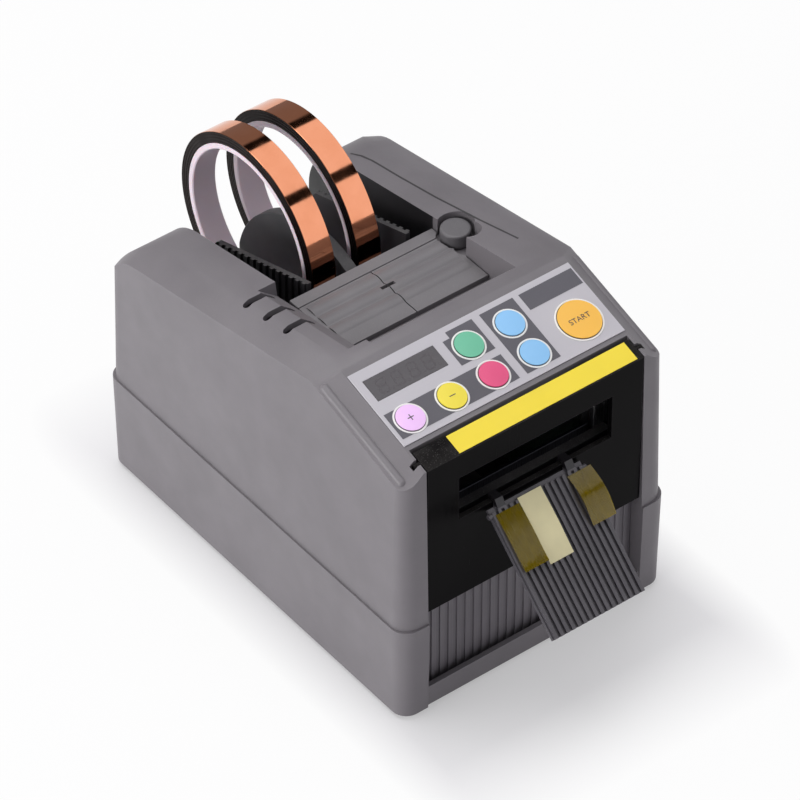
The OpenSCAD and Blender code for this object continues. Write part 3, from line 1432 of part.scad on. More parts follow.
// A hook that goes over the lower edge of the exit window, from x to x + w
module chute_hook(x, w) {
    back = cover_inset + cover_t;
    across_from(x, w) polygon([[chute_y, chute_z - chute_t], [back + hook_t, window_low_z - hook_drop],
        [back + hook_t, window_low_z + hook_t], [cover_inset - hook_front, window_low_z + hook_t],
            [chute_y, chute_z]]);
}

// The cut lengths of tape that lie on the chute
module tape_pieces() color(amber) on_chute() {
    for (p = tape_places) translate([p[0], p[1] - p[2], 0]) cube([tape_w, p[2], tape_t]);
}

placed() lower_case();
placed() upper_case();
placed() front_grille();
placed() rubber_feet();
placed() case_screws();
placed() panel_overlay();
placed() panel_fields();
placed() key_rims();
placed() display_lens();
placed() display_module();
placed() control_board();
placed() key_switches();
placed() plus_key();
placed() minus_key();
placed() pink_key();
placed() green_key();
placed() upper_blue_key();
placed() lower_blue_key();
placed() start_key();
placed() roll_cradle();
placed() front_support_roller();
placed() rear_support_roller();
placed() roll_divider();
placed() left_tape_core();
placed() left_tape_winding();
placed() right_tape_core();
placed() right_tape_winding();
placed() left_guide_plate();
placed() right_guide_plate();
placed() rear_guide_strip();
placed() guide_knob();
placed() left_feed_frame();
placed() right_feed_frame();
placed() frame_tie_bars();
placed() motor_plate();
placed() feed_roller();
placed() feed_shaft();
placed() feed_gear();
placed() pressure_roller();
placed() pressure_shaft();
placed() pressure_springs();
placed() feed_motor();
placed() motor_pinion();
placed() fixed_blade();
placed() fixed_blade_bar();
placed() moving_blade();
placed() blade_carrier();
placed() blade_rails();
placed() crank_disc();
placed() cutter_motor();
placed() tape_sensor();
placed() cover_switch();
placed() main_board();
placed() power_inlet();
placed() power_switch();
placed() power_rocker();
placed() front_cover();
placed() flange_strip();
placed() chute();
placed() tape_pieces();
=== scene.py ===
import json
import math

import bpy
from mathutils import Matrix, Vector


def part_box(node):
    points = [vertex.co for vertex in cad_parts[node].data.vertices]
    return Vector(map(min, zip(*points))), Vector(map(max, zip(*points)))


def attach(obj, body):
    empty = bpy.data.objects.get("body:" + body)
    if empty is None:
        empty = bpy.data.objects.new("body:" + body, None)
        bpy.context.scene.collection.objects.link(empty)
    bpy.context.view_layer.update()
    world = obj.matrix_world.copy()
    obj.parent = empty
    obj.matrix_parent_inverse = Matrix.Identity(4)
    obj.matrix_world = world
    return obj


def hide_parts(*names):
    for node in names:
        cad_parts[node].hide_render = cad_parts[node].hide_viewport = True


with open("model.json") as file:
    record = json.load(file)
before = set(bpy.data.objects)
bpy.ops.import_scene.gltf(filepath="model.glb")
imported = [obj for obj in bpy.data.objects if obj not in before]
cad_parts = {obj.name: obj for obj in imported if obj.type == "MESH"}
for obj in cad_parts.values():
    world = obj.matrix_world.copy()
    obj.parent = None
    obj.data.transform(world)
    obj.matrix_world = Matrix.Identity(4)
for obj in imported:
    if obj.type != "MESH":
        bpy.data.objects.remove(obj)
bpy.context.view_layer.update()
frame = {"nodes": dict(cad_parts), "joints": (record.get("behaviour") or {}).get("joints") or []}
nodes = frame["nodes"]


# Lower case
# The tray that stands on the table, moulded in grey ABS with a fine spark-eroded texture.
# Its front pillars and bottom lip are one moulding with it; four screws from below hold the upper case.

def add_node(tree, kind, sockets, **settings):
    """Adds a node, sets its options, and fills its sockets with values or with other nodes' outputs."""
    node = tree.nodes.new(kind)
    for option, value in settings.items():
        setattr(node, option, value)
    for socket, value in sockets.items():
        if isinstance(value, bpy.types.NodeSocket):
            tree.links.new(value, node.inputs[socket])
        else:
            node.inputs[socket].default_value = value
    return node


def calc(tree, operation, first, second=0.0):
    """A sum of two values, or a function of the first alone."""
    return add_node(tree, "ShaderNodeMath", {0: first, 1: second}, operation=operation).outputs[0]


def product(tree, first, *others):
    for other in others:
        first = calc(tree, "MULTIPLY", first, other)
    return first


def remap(tree, value, span, onto):
    """Moves a value from one range onto another, and holds it inside."""
    sockets = {"Value": value, "From Min": span[0], "From Max": span[1], "To Min": onto[0], "To Max": onto[1]}
    return add_node(tree, "ShaderNodeMapRange", sockets).outputs["Result"]


def mixed(tree, amount, first, second):
    return add_node(tree, "ShaderNodeMix", {0: amount, 6: first, 7: second}, data_type="RGBA").outputs[2]


def noise(tree, place, scale, detail=2.0):
    sockets = {"Vector": place, "Scale": scale, "Detail": detail}
    return add_node(tree, "ShaderNodeTexNoise", sockets).outputs["Fac"]


def own_place(tree):
    """Where a point lies on its piece."""
    return add_node(tree, "ShaderNodeTexCoord", {}).outputs["Object"]


def facing(tree):
    """The way a surface looks."""
    return add_node(tree, "ShaderNodeNewGeometry", {}).outputs["Normal"]


def split(tree, vector):
    """A vector's X, Y and Z."""
    return add_node(tree, "ShaderNodeSeparateXYZ", {0: vector}).outputs


def new_group(name, inputs, outputs):
    """An empty effect with named sockets; gives the group, its inputs and its outputs."""
    group = bpy.data.node_groups.new(name, "ShaderNodeTree")
    for label, value in inputs.items():
        kind = "NodeSocketColor" if isinstance(value, tuple) else "NodeSocketFloat"
        group.interface.new_socket(label, in_out="INPUT", socket_type=kind).default_value = value
    for label, kind in outputs.items():
        group.interface.new_socket(label, in_out="OUTPUT", socket_type=kind)
    return group, group.nodes.new("NodeGroupInput").outputs, group.nodes.new("NodeGroupOutput").inputs


def paint(red, green, blue):
    """A colour from its values on a 0 to 255 chart."""
    knee, slope, offset, power = 0.04045, 12.92, 0.055, 2.4
    chart = [value / 255 for value in (red, green, blue)]
    return tuple(v / slope if v < knee else ((v + offset) / (1 + offset)) ** power for v in chart) + (1.0,)


def build_moulded_texture():
    """Moulded plastic: cloudy colour, uneven sheen and a fine grain."""
    group, given, result = new_group(
        "moulded texture",
        {"Colour": paint(128, 128, 128), "Mottle": 0.06, "Roughness": 0.5, "Grain Scale": 2600.0},
        {"Colour": "NodeSocketColor", "Roughness": "NodeSocketFloat", "Height": "NodeSocketFloat"},
    )
    place = own_place(group)
    clouds = noise(group, place, scale=38.0, detail=5.0)
    low = calc(group, "SUBTRACT", 1.0, given["Mottle"])
    high = calc(group, "ADD", 1.0, given["Mottle"])
    gain = remap(group, clouds, (0.3, 0.7), (low, high))
    tone = add_node(group, "ShaderNodeHueSaturation", {"Value": gain, "Color": given["Colour"]})
    sheen = remap(group, noise(group, place, scale=90.0, detail=4.0), (0.3, 0.7), (0.9, 1.1))
    group.links.new(tone.outputs["Color"], result["Colour"])
    group.links.new(product(group, given["Roughness"], sheen), result["Roughness"])
    group.links.new(noise(group, place, given["Grain Scale"]), result["Height"])
    return group


def build_edge_wear_and_highlight():
    """A mask along a piece's edges, for handling marks and a painted highlight there, broken up in patches.
    """
    # The edge mask stands partly for wear and partly for a painted highlight along the edges.
    group, given, result = new_group("edge wear", {"Width": 0.0008, "Amount": 0.5},
                                     {"Mask": "NodeSocketFloat"})
    rounded = add_node(group, "ShaderNodeBevel", {"Radius": given["Width"]}, samples=4).outputs["Normal"]
    along = add_node(group, "ShaderNodeVectorMath", {0: rounded, 1: facing(group)}, operation="DOT_PRODUCT")
    edge = remap(group, along.outputs["Value"], (0.995, 0.86), (0.0, 1.0))
    patches = noise(group, own_place(group), scale=160.0, detail=4.0)
    patchy = remap(group, patches, (0.35, 0.65), (0.35, 1.0))
    group.links.new(product(group, edge, patchy, given["Amount"]), result["Mask"])
    return group


def build_settled_dust():
    """A mask of dust that lies on the faces that look up."""
    group, given, result = new_group("settled dust", {"Amount": 0.2}, {"Mask": "NodeSocketFloat"})
    place = own_place(group)
    lying = remap(group, split(group, facing(group))["Z"], (0.2, 1.0), (0.0, 1.0))
    drifts = remap(group, noise(group, place, scale=70.0, detail=6.0), (0.35, 0.7), (0.15, 1.0))
    specks = remap(group, noise(group, place, scale=1900.0, detail=1.0), (0.62, 0.7), (0.0, 0.8))
    drift_share = 0.6
    cover = calc(group, "ADD", product(group, drifts, drift_share), specks)
    group.links.new(product(group, lying, cover, given["Amount"]), result["Mask"])
    return group


moulded_texture = build_moulded_texture()
edge_wear_and_highlight = build_edge_wear_and_highlight()
settled_dust = build_settled_dust()
dust_colour = paint(186, 182, 178)


def effect(tree, group, sockets):
    return add_node(tree, "ShaderNodeGroup", sockets, node_tree=group).outputs


def new_finish(name, sockets):
    """A material with its shader's plain values set; gives the material, its tree and the shader."""
    material = bpy.data.materials.new(name)
    material.use_nodes = True
    tree = material.node_tree
    shader = tree.nodes["Principled BSDF"]
    for socket, value in sockets.items():
        shader.inputs[socket].default_value = value
    return material, tree, shader


def relief(tree, shader, height, depth, distance):
    bump = add_node(tree, "ShaderNodeBump", {"Strength": depth, "Distance": distance, "Height": height})
    tree.links.new(bump.outputs["Normal"], shader.inputs["Normal"])


def moulded_plastic(name, colour, roughness, mottle=0.06, grain=2600.0, depth=0.25, wear_and_highlight=0.25, dust=0.12,
                    black_and_shade=None, **plain):
    """Moulded plastic of one colour with edges paled by handling and a painted highlight, and a little dust.
    """
    edge_gain, edge_lift, dust_roughness = 1.5, 0.02, 0.4
    material, tree, shader = new_finish(name, plain)
    skin = effect(tree, moulded_texture,
                  {"Colour": colour, "Mottle": mottle, "Roughness": roughness, "Grain Scale": grain})
    worn_and_highlit = effect(tree, edge_wear_and_highlight, {"Amount": wear_and_highlight})["Mask"]
    dusty = effect(tree, settled_dust, {"Amount": dust})["Mask"]
    # Edges are paled towards a lighter colour: partly handling wear, partly a painted highlight.
    pale = tuple(min(1.0, edge_gain * value + edge_lift) for value in colour[:3]) + (1.0,)
    surface = mixed(tree, dusty, mixed(tree, worn_and_highlit, skin["Colour"], pale), dust_colour)
    # black_and_shade masks what is painted near black: black parts, and painted shade deep in the bay.
    if black_and_shade:
        surface = mixed(tree, black_and_shade(tree), surface, paint(30, 28, 31))
    rough = calc(tree, "ADD", skin["Roughness"], product(tree, dusty, dust_roughness))
    tree.links.new(surface, shader.inputs["Base Color"])
    tree.links.new(rough, shader.inputs["Roughness"])
    relief(tree, shader, skin["Height"], depth, distance=0.00006)
    return material


def dress(material, *names):
    """Gives CAD pieces their finish."""
    for name in names:
        slots = nodes[name].data.materials
        slots.clear()
        slots.append(material)


def build_whole_faces():
    """A modifier's nodes: joins a mesh's split points and keeps only its real corners crisp."""
    weld, corner_angle = 1e-6, 28
    group = bpy.data.node_groups.new("whole faces", "GeometryNodeTree")
    for way in ("INPUT", "OUTPUT"):
        group.interface.new_socket("Geometry", in_out=way, socket_type="NodeSocketGeometry")
    given = add_node(group, "NodeGroupInput", {}).outputs[0]
    bare = add_node(group, "GeometryNodeRemoveAttribute",
                    {"Geometry": given, "Name": "custom_normal"}).outputs[0]
    joined = add_node(group, "GeometryNodeMergeByDistance", {"Geometry": bare, "Distance": weld}).outputs[0]
    angle = add_node(group, "GeometryNodeInputMeshEdgeAngle", {}).outputs["Unsigned Angle"]
    corner = add_node(group, "FunctionNodeCompare", {0: angle, 1: math.radians(corner_angle)},
                      operation="GREATER_THAN").outputs[0]
    smooth = add_node(group, "GeometryNodeSetShadeSmooth",
                      {"Geometry": joined, "Shade Smooth": True}).outputs[0]
    crisp = add_node(group, "GeometryNodeSetShadeSmooth",
                     {"Geometry": smooth, "Selection": corner, "Shade Smooth": False},
                     domain="EDGE").outputs[0]
    add_node(group, "NodeGroupOutput", {0: crisp})
    return group


whole_faces = build_whole_faces()


def soften(*names, width, segments=2):
    """Rounds the moulded edges of CAD pieces."""
    flat_angle, edge_angle = 0.2, 32
    for name in names:
        joined = nodes[name].modifiers.new("whole faces", "NODES")
        joined.node_group = whole_faces
        flat = nodes[name].modifiers.new("flat faces", "DECIMATE")
        flat.decimate_type = "DISSOLVE"
        flat.angle_limit = math.radians(flat_angle)
        bevel = nodes[name].modifiers.new("rounded edges", "BEVEL")
        bevel.width = width
        bevel.segments = segments
        bevel.limit_method = "ANGLE"
        bevel.angle_limit = math.radians(edge_angle)
        bevel.harden_normals = True


case_grey = paint(114, 110, 114)
case_plastic = moulded_plastic("case plastic", case_grey, roughness=0.46, wear_and_highlight=0.35, dust=0.05)
dress(case_plastic, "lower_case")
soften("lower_case", width=0.0009)


# Upper case
# The grey ABS cover of the machine: side housings, panel deck, guide pocket and tape bay in one moulding.
# It stands inside the lower case's edge and its posts take the four case screws.

bay_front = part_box("rear_guide_strip")[1]


def bay_liner_and_shade(tree):
    """A mask of the bay's inner side walls, painted black for the black liner there and as painted shade deep
    in the bay.
    """
    wall_margin, upright_share = 0.0007, 0.8
    spot = split(tree, own_place(tree))
    sideways = split(tree, facing(tree))["X"]
    between = calc(tree, "LESS_THAN", calc(tree, "ABSOLUTE", spot["X"]), bay_front.x + wall_margin)
    behind = calc(tree, "GREATER_THAN", spot["Y"], bay_front.y)
    upright = calc(tree, "GREATER_THAN", calc(tree, "ABSOLUTE", sideways), upright_share)
    return product(tree, between, behind, upright)


# The bay's inner walls are painted near black, partly for a black liner and partly as painted shade in the
# deep bay.
upper_plastic = moulded_plastic("upper case plastic", case_grey, roughness=0.46, wear_and_highlight=0.35, dust=0.05,
                                black_and_shade=bay_liner_and_shade)
dress(upper_plastic, "upper_case")
soften("upper_case", width=0.0010, segments=3)


# Front grille
# A thin ribbed panel that closes the lower front between the pillars, moulded in the same grey.

grille_plastic = moulded_plastic("grille plastic", paint(112, 108, 113), roughness=0.52, dust=0.04)
dress(grille_plastic, "front_grille")
soften("front_grille", width=0.0002)


# Rubber feet
# Four round feet pressed from black rubber and glued to the underside.

def build_rubber():
    material, tree, shader = new_finish("rubber", {"Specular IOR Level": 0.3})
    skin = effect(tree, moulded_texture,
                  {"Colour": paint(38, 37, 38), "Mottle": 0.2, "Roughness": 0.8, "Grain Scale": 1500.0})
    dusty = effect(tree, settled_dust, {"Amount": 0.3})["Mask"]
    tree.links.new(mixed(tree, dusty, skin["Colour"], dust_colour), shader.inputs["Base Color"])
    tree.links.new(skin["Roughness"], shader.inputs["Roughness"])
    relief(tree, shader, skin["Height"], depth=0.5, distance=0.0001)
    return material


rubber = build_rubber()
dress(rubber, "rubber_feet")
soften("rubber_feet", width=0.0004)


# Case screws, feed frame and cutter
# Cut and bent steel sheet and drawn shafts, left bare with the lines of the brushing; the blades are blued.
# The frames stand on posts of the lower case; bars, plate and rails hold them apart.

def build_brushing():
    """Fine lines drawn along one direction, for roughness and relief."""
    group, given, result = new_group(
        "brushing",
        {"Along X": 20.0, "Along Y": 20.0, "Along Z": 20.0, "Roughness": 0.3},
        {"Roughness": "NodeSocketFloat", "Height": "NodeSocketFloat"},
    )
    stretch = add_node(group, "ShaderNodeCombineXYZ",
                       {0: given["Along X"], 1: given["Along Y"], 2: given["Along Z"]}).outputs[0]
    drawn = add_node(group, "ShaderNodeVectorMath", {0: own_place(group), 1: stretch}, operation="MULTIPLY")
    lines = noise(group, drawn.outputs[0], scale=1.0, detail=3.0)
    spread = remap(group, lines, (0.3, 0.7), (0.75, 1.25))
    group.links.new(product(group, given["Roughness"], spread), result["Roughness"])
    group.links.new(lines, result["Height"])
    return group


brushing = build_brushing()


def bare_metal(name, colour, roughness, along):
    """Bare metal brushed along X, Y or Z, with edges brightened by wear and a painted highlight."""
    fine, coarse, edge_gain = 4200.0, 60.0, 1.25
    material, tree, shader = new_finish(name, {"Metallic": 1.0})
    stretch = {"Along " + axis: coarse if axis == along else fine for axis in "XYZ"}
    lines = effect(tree, brushing, {**stretch, "Roughness": roughness})
    worn_and_highlit = effect(tree, edge_wear_and_highlight, {"Width": 0.0005, "Amount": 0.6})["Mask"]
    clouds = effect(tree, moulded_texture, {"Colour": colour, "Mottle": 0.08})["Colour"]
    # The brighter edge colour is partly wear and partly a painted highlight.
    bright = tuple(min(1.0, edge_gain * value) for value in colour[:3]) + (1.0,)
    tree.links.new(mixed(tree, worn_and_highlit, clouds, bright), shader.inputs["Base Color"])
    tree.links.new(lines["Roughness"], shader.inputs["Roughness"])
    relief(tree, shader, lines["Height"], depth=0.2, distance=0.00003)
    return material


sheet_steel = bare_metal("sheet steel", paint(186, 187, 190), roughness=0.34, along="Z")
drawn_steel = bare_metal("drawn steel", paint(205, 206, 208), roughness=0.22, along="X")
blued_steel = bare_metal("blued steel", paint(62, 62, 68), roughness=0.3, along="Z")
can_steel = bare_metal("motor can steel", paint(160, 160, 158), roughness=0.42, along="X")
dress(drawn_steel, "case_screws", "frame_tie_bars", "feed_shaft", "pressure_shaft", "pressure_springs")
dress(sheet_steel, "left_feed_frame", "right_feed_frame", "motor_plate", "blade_rails", "crank_disc")
dress(blued_steel, "fixed_blade", "moving_blade")
dress(can_steel, "feed_motor", "cutter_motor")
soften("left_feed_frame", "right_feed_frame", "motor_plate", "blade_rails", "crank_disc", width=0.0003)
soften("case_screws", "fixed_blade", "moving_blade", "feed_shaft", "pressure_shaft", width=0.0002)
soften("feed_motor", "cutter_motor", width=0.0008, segments=3)


# Feed and pressure rollers, gears
# The feed roller is ground rubber on a steel shaft, the pressure roller and the gear are white acetal.
# A brass pinion on the motor's shaft drives the gear.

white_acetal = moulded_plastic("white acetal", paint(232, 230, 224), roughness=0.38, mottle=0.03, wear_and_highlight=0.1,
                               dust=0.1)
pinion_brass = bare_metal("pinion brass", paint(206, 172, 96), roughness=0.28, along="X")
dress(rubber, "feed_roller")
dress(white_acetal, "pressure_roller", "feed_gear")
dress(pinion_brass, "motor_pinion")
soften("feed_roller", "pressure_roller", width=0.0004)
soften("feed_gear", "motor_pinion", width=0.00015)


# Blade bar, blade carrier, tape sensor and cover switch
# Small working parts moulded in black nylon, screwed and clipped to the feed frame.

black_nylon = moulded_plastic("black nylon", paint(26, 25, 27), roughness=0.42, mottle=0.1, wear_and_highlight=0.15,
                              dust=0.15)
dress(black_nylon, "fixed_blade_bar", "blade_carrier", "tape_sensor", "cover_switch")
soften("fixed_blade_bar", "blade_carrier", "tape_sensor", "cover_switch", width=0.0003)


# Boards, key switches and display module
# Green lacquered circuit boards on the case's posts, with tinned pads and copper tracks under the lacquer.

def build_circuit_board():
    pad_metal = 0.9
    material, tree, shader = new_finish("circuit board", {"Coat Weight": 0.4, "Coat Roughness": 0.15})
    place = own_place(tree)
    cells = add_node(tree, "ShaderNodeTexVoronoi", {"Vector": place, "Scale": 240.0}).outputs["Distance"]
    bands = add_node(tree, "ShaderNodeTexWave",
                     {"Vector": place, "Scale": 110.0, "Distortion": 6.0, "Detail": 1.0}).outputs["Fac"]
    tracks = remap(tree, bands, (0.72, 0.8), (0.0, 1.0))
    pads = remap(tree, cells, (0.16, 0.12), (0.0, 1.0))
    lacquer = mixed(tree, tracks, paint(22, 74, 42), paint(44, 112, 62))
    tree.links.new(mixed(tree, pads, lacquer, paint(190, 188, 180)), shader.inputs["Base Color"])
    tree.links.new(product(tree, pads, pad_metal), shader.inputs["Metallic"])
    tree.links.new(remap(tree, tracks, (0.0, 1.0), (0.45, 0.36)), shader.inputs["Roughness"])
    relief(tree, shader, tracks, depth=0.3, distance=0.00005)
    return material


dress(build_circuit_board(), "control_board", "main_board")
dress(black_nylon, "key_switches", "display_module")


# Power inlet, power switch and rocker
# Black nylon housings pushed through the back of the lower case; the rocker tilts on two moulded pins.

rocker_plastic = moulded_plastic("rocker plastic", paint(30, 30, 32), roughness=0.25, wear_and_highlight=0.2, dust=0.05)
dress(black_nylon, "power_inlet", "power_switch")
dress(rocker_plastic, "power_rocker")
soften("power_inlet", "power_switch", width=0.0004)
soften("power_rocker", width=0.0005)


# Panel overlay, printed fields and key rims
# A satin polyester film glued to the sloped deck, light grey.
# Dark fields, and white rings round the keys, are printed on it.

overlay_film = moulded_plastic("overlay film", paint(192, 189, 195), roughness=0.4, mottle=0.02, grain=5200.0,
                               depth=0.12, wear_and_highlight=0.15, dust=0.03)
field_ink = moulded_plastic("dark field ink", paint(84, 82, 90), roughness=0.4, mottle=0.03, grain=5200.0,
                            depth=0.12, wear_and_highlight=0.1, dust=0.03)
rim_ink = moulded_plastic("white rim ink", paint(244, 243, 240), roughness=0.4, mottle=0.02, wear_and_highlight=0.0,
                          dust=0.02)
dress(overlay_film, "panel_overlay")
dress(field_ink, "panel_fields")
dress(rim_ink, "key_rims")
soften("panel_overlay", "key_rims", width=0.00015)


# Display
# A dark tinted window glued into the overlay; the unlit figures of the display show faintly in it.

panel_right = Vector((1, 0, 0))
panel_out = -Vector(next(joint["axis"] for joint in frame["joints"] if joint["name"] == "start_key_press"))
panel_back = panel_out.cross(panel_right)


def panel_spread(name):
    """Where a CAD piece lies across, along and above the panel, lowest and highest."""
    spots = [vertex.co for vertex in nodes[name].data.vertices]
    return [(min(s.dot(way) for s in spots), max(s.dot(way) for s in spots))
            for way in (panel_right, panel_back, panel_out)]


def panel_place(across, along, above):
    """A piece's own frame on the panel, with Z out of it."""
    turn = Matrix((panel_right, panel_back, panel_out)).transposed().to_4x4()
    return Matrix.Translation(turn.to_3x3() @ Vector((across, along, above))) @ turn


def new_piece(name, corners, faces, material, smooth=True, crease=40):
    """A mesh piece from its corners and faces; edges over the crease angle stay sharp."""
    mesh = bpy.data.meshes.new(name)
    mesh.from_pydata(corners, [], faces)
    mesh.update()
    if smooth:
        mesh.shade_smooth()
        mesh.set_sharp_from_angle(angle=math.radians(crease))
    mesh.materials.append(material)
    piece = bpy.data.objects.new(name, mesh)
    bpy.context.scene.collection.objects.link(piece)
    return piece


def prisms(outlines, low, high, place):
    """Corners and faces of flat plates with the given outlines, from low to high."""
    corners, faces = [], []
    for outline in outlines:
        start, count = len(corners), len(outline)
        corners += [place @ Vector((x, y, low)) for x, y in outline]
        corners += [place @ Vector((x, y, high)) for x, y in outline]
        faces.append([start + count + i for i in range(count)])
        faces.append([start + i for i in reversed(range(count))])
        for i in range(count):
            after = (i + 1) % count
            faces.append([start + i, start + after, start + count + after, start + count + i])
    return corners, faces


lens_plastic = moulded_plastic("lens plastic", paint(62, 58, 62), roughness=0.16, mottle=0.04, wear_and_highlight=0.0,
                               dust=0.04, **{"Coat Weight": 0.5, "Coat Roughness": 0.06})
dress(lens_plastic, "display_lens")
figure_ink = moulded_plastic("unlit figures", paint(72, 67, 71), roughness=0.3, wear_and_highlight=0.0, dust=0.0)
(lens_left, lens_right), (lens_low, lens_high), (_, lens_top) = panel_spread("display_lens")
figure_count, figure_h, figure_w, figure_lean, figure_margin = 4, 0.0066, 0.0040, 0.12, 0.6
bar_w, bar_gap = 0.0008, 0.15
dot_gap, dot_r, dot_corners = 0.0014, 0.0005, 8
figure_sunk, figure_rise = 0.00002, 0.00003


def segment(start, end):
    """One bar of a figure, pointed at both ends and leaning with it."""
    way = Vector((end[0] - start[0], end[1] - start[1]))
    way.normalize()
    side = Vector((-way.y, way.x)) * bar_w / 2
    tip = way * bar_w / 2
    first = Vector(start) + way * bar_w * bar_gap
    last = Vector(end) - way * bar_w * bar_gap
    outline = [first, first + tip - side, last - tip - side, last, last - tip + side, first + tip + side]
    return [(p.x + figure_lean * p.y, p.y) for p in outline]


def figure_outlines():
    """The seven bars and the dot of each figure."""
    bars = []
    pitch = (lens_right - lens_left) / (figure_count + figure_margin)
    low, mid, high = -figure_h / 2, 0.0, figure_h / 2
    for index in range(figure_count):
        left = (index - (figure_count - 1) / 2) * pitch - figure_w / 2
        right = left + figure_w
        posts = [(left, low), (left, mid), (left, high), (right, low), (right, mid), (right, high)]
        for a, b in ((0, 1), (1, 2), (3, 4), (4, 5), (0, 3), (1, 4), (2, 5)):
            bars.append(segment(posts[a], posts[b]))
        turns = [2 * math.pi * k / dot_corners for k in range(dot_corners)]
        bars.append([(right + dot_gap + dot_r * math.cos(t), low + dot_r * math.sin(t)) for t in turns])
    return bars


figures = new_piece(
    "display_figures",
    *prisms(figure_outlines(), -figure_sunk, figure_rise,
            panel_place((lens_left + lens_right) / 2, (lens_low + lens_high) / 2, lens_top)),
    figure_ink, smooth=False)
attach(figures, "case")


# Keys
# Seven round caps moulded in coloured ABS with a low dome, each on a stem that presses its switch.
# The plus, minus and start marks are printed in dark ink.

def turned(name, profile, place, material, steps=72, ring=False, crease=40):
    """A piece turned on its own Z axis from (radius, height) points; a ring's profile closes on itself."""
    on_axis = 1e-7
    corners, faces, rows = [], [], []
    for radius, height in profile:
        if radius < on_axis:
            rows.append([len(corners)])
            corners.append(place @ Vector((0, 0, height)))
            continue
        rows.append(list(range(len(corners), len(corners) + steps)))
        for i in range(steps):
            angle = 2 * math.pi * i / steps
            corners.append(place @ Vector((radius * math.cos(angle), radius * math.sin(angle), height)))
    following = rows[1:] + rows[:1] if ring else rows[1:]
    for lower, upper in zip(rows, following):
        for i in range(steps):
            after = (i + 1) % steps
            if len(lower) == 1:
                faces.append([lower[0], upper[after], upper[i]])
            elif len(upper) == 1:
                faces.append([lower[i], lower[after], upper[0]])
            else:
                faces.append([lower[i], lower[after], upper[after], upper[i]])
    return new_piece(name, corners, faces, material, crease=crease)


def key_cap(name, colour):
    """A domed cap with its stem, in place of the key's plain solid."""
    dome, edge, stem_r, cap_t = 0.00022, 0.00018, 0.0035, 0.0005
    lip_in, lip_up, crown_steps, level = 0.3, 0.2, 8, 1e-5
    material = moulded_plastic(name + " plastic", colour, roughness=0.34, mottle=0.04, wear_and_highlight=0.1, dust=0.03,
                               **{"Coat Weight": 0.1, "Coat Roughness": 0.1})
    (left, right), _, (foot, top) = panel_spread(name)
    radius = (right - left) / 2
    spots = [v.co for v in nodes[name].data.vertices if v.co.dot(panel_out) > top - level]
    along = sum((min(s.dot(panel_back) for s in spots), max(s.dot(panel_back) for s in spots))) / 2
    under = top - cap_t
    shares = [k / crown_steps for k in range(crown_steps - 1, 0, -1)]
    crown = [(radius * share, top + dome * (1 - share ** 2)) for share in shares]
    rim = [(radius - edge, under), (radius, under + edge), (radius, top - edge),
           (radius - edge * lip_in, top + edge * lip_up)]
    profile = [(0, foot), (stem_r, foot), (stem_r, under)] + rim + crown + [(0, top + dome)]
    cap = turned(name + "_cap", profile, panel_place((left + right) / 2, along, 0), material)
    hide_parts(name)
    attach(cap, name)
    return panel_place((left + right) / 2, along, top + dome)


key_ink = moulded_plastic("key ink", paint(60, 52, 62), roughness=0.45, wear_and_highlight=0.0, dust=0.0)
mark_len, mark_w, mark_sunk, mark_rise = 0.0030, 0.00042, 0.00022, 0.00002


def key_mark(name, body, outlines, place):
    mark = new_piece(name, *prisms(outlines, -mark_sunk, mark_rise, place), key_ink, smooth=False)
    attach(mark, body)


def stroke(width, height):
    """The outline of a straight stroke about its middle."""
    x, y = width / 2, height / 2
    return [(-x, -y), (x, -y), (x, y), (-x, y)]


plus_place = key_cap("plus_key", paint(247, 202, 254))
minus_place = key_cap("minus_key", paint(246, 226, 58))
key_cap("pink_key", paint(232, 74, 128))
key_cap("green_key", paint(104, 192, 156))
for blue_key in ("upper_blue_key", "lower_blue_key"):
    key_cap(blue_key, paint(140, 199, 246))
start_place = key_cap("start_key", paint(253, 192, 68))
key_mark("plus_mark", "plus_key", [stroke(mark_len, mark_w), stroke(mark_w, mark_len)], plus_place)
key_mark("minus_mark", "minus_key", [stroke(mark_len, mark_w)], minus_place)
word_size, word_depth, word_sunk = 0.0036, 0.00012, 0.0001
start_word = bpy.data.curves.new("start_word", "FONT")
start_word.body = "START"
start_word.size = word_size
start_word.extrude = word_depth
start_word.align_x = "CENTER"
start_word.align_y = "CENTER"
start_word.materials.append(key_ink)
start_mark = bpy.data.objects.new("start_mark", start_word)
start_mark.matrix_world = start_place @ Matrix.Translation((0, 0, -word_sunk))
bpy.context.scene.collection.objects.link(start_mark)
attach(start_mark, "start_key")


# Front cover and its yellow strip
# A guard moulded in smoked acrylic that hangs on two pins in the pillars and lifts to reach the blades.
# A plain yellow film is stuck along its top flange.

def build_smoked_acrylic():
    material, tree, shader = new_finish("smoked acrylic", {"Specular IOR Level": 0.03})
    smears = noise(tree, own_place(tree), scale=34.0, detail=6.0)
    scratches = effect(tree, brushing,
                       {"Along X": 900.0, "Along Y": 900.0, "Along Z": 40.0, "Roughness": 0.2})["Roughness"]
    dusty = effect(tree, settled_dust, {"Amount": 0.10})["Mask"]
    worn_and_highlit = effect(tree, edge_wear_and_highlight, {"Amount": 0.2})["Mask"]
    tint = mixed(tree, smears, paint(10, 9, 10), paint(15, 13, 14))
    # The edges are paled to grey: partly wear, partly a painted highlight.
    edged = mixed(tree, worn_and_highlit, tint, paint(80, 78, 82))
    rough = calc(tree, "ADD", scratches, remap(tree, smears, (0.35, 0.7), (-0.06, 0.08)))
    tree.links.new(mixed(tree, dusty, edged, dust_colour), shader.inputs["Base Color"])
    tree.links.new(rough, shader.inputs["Roughness"])
    return material


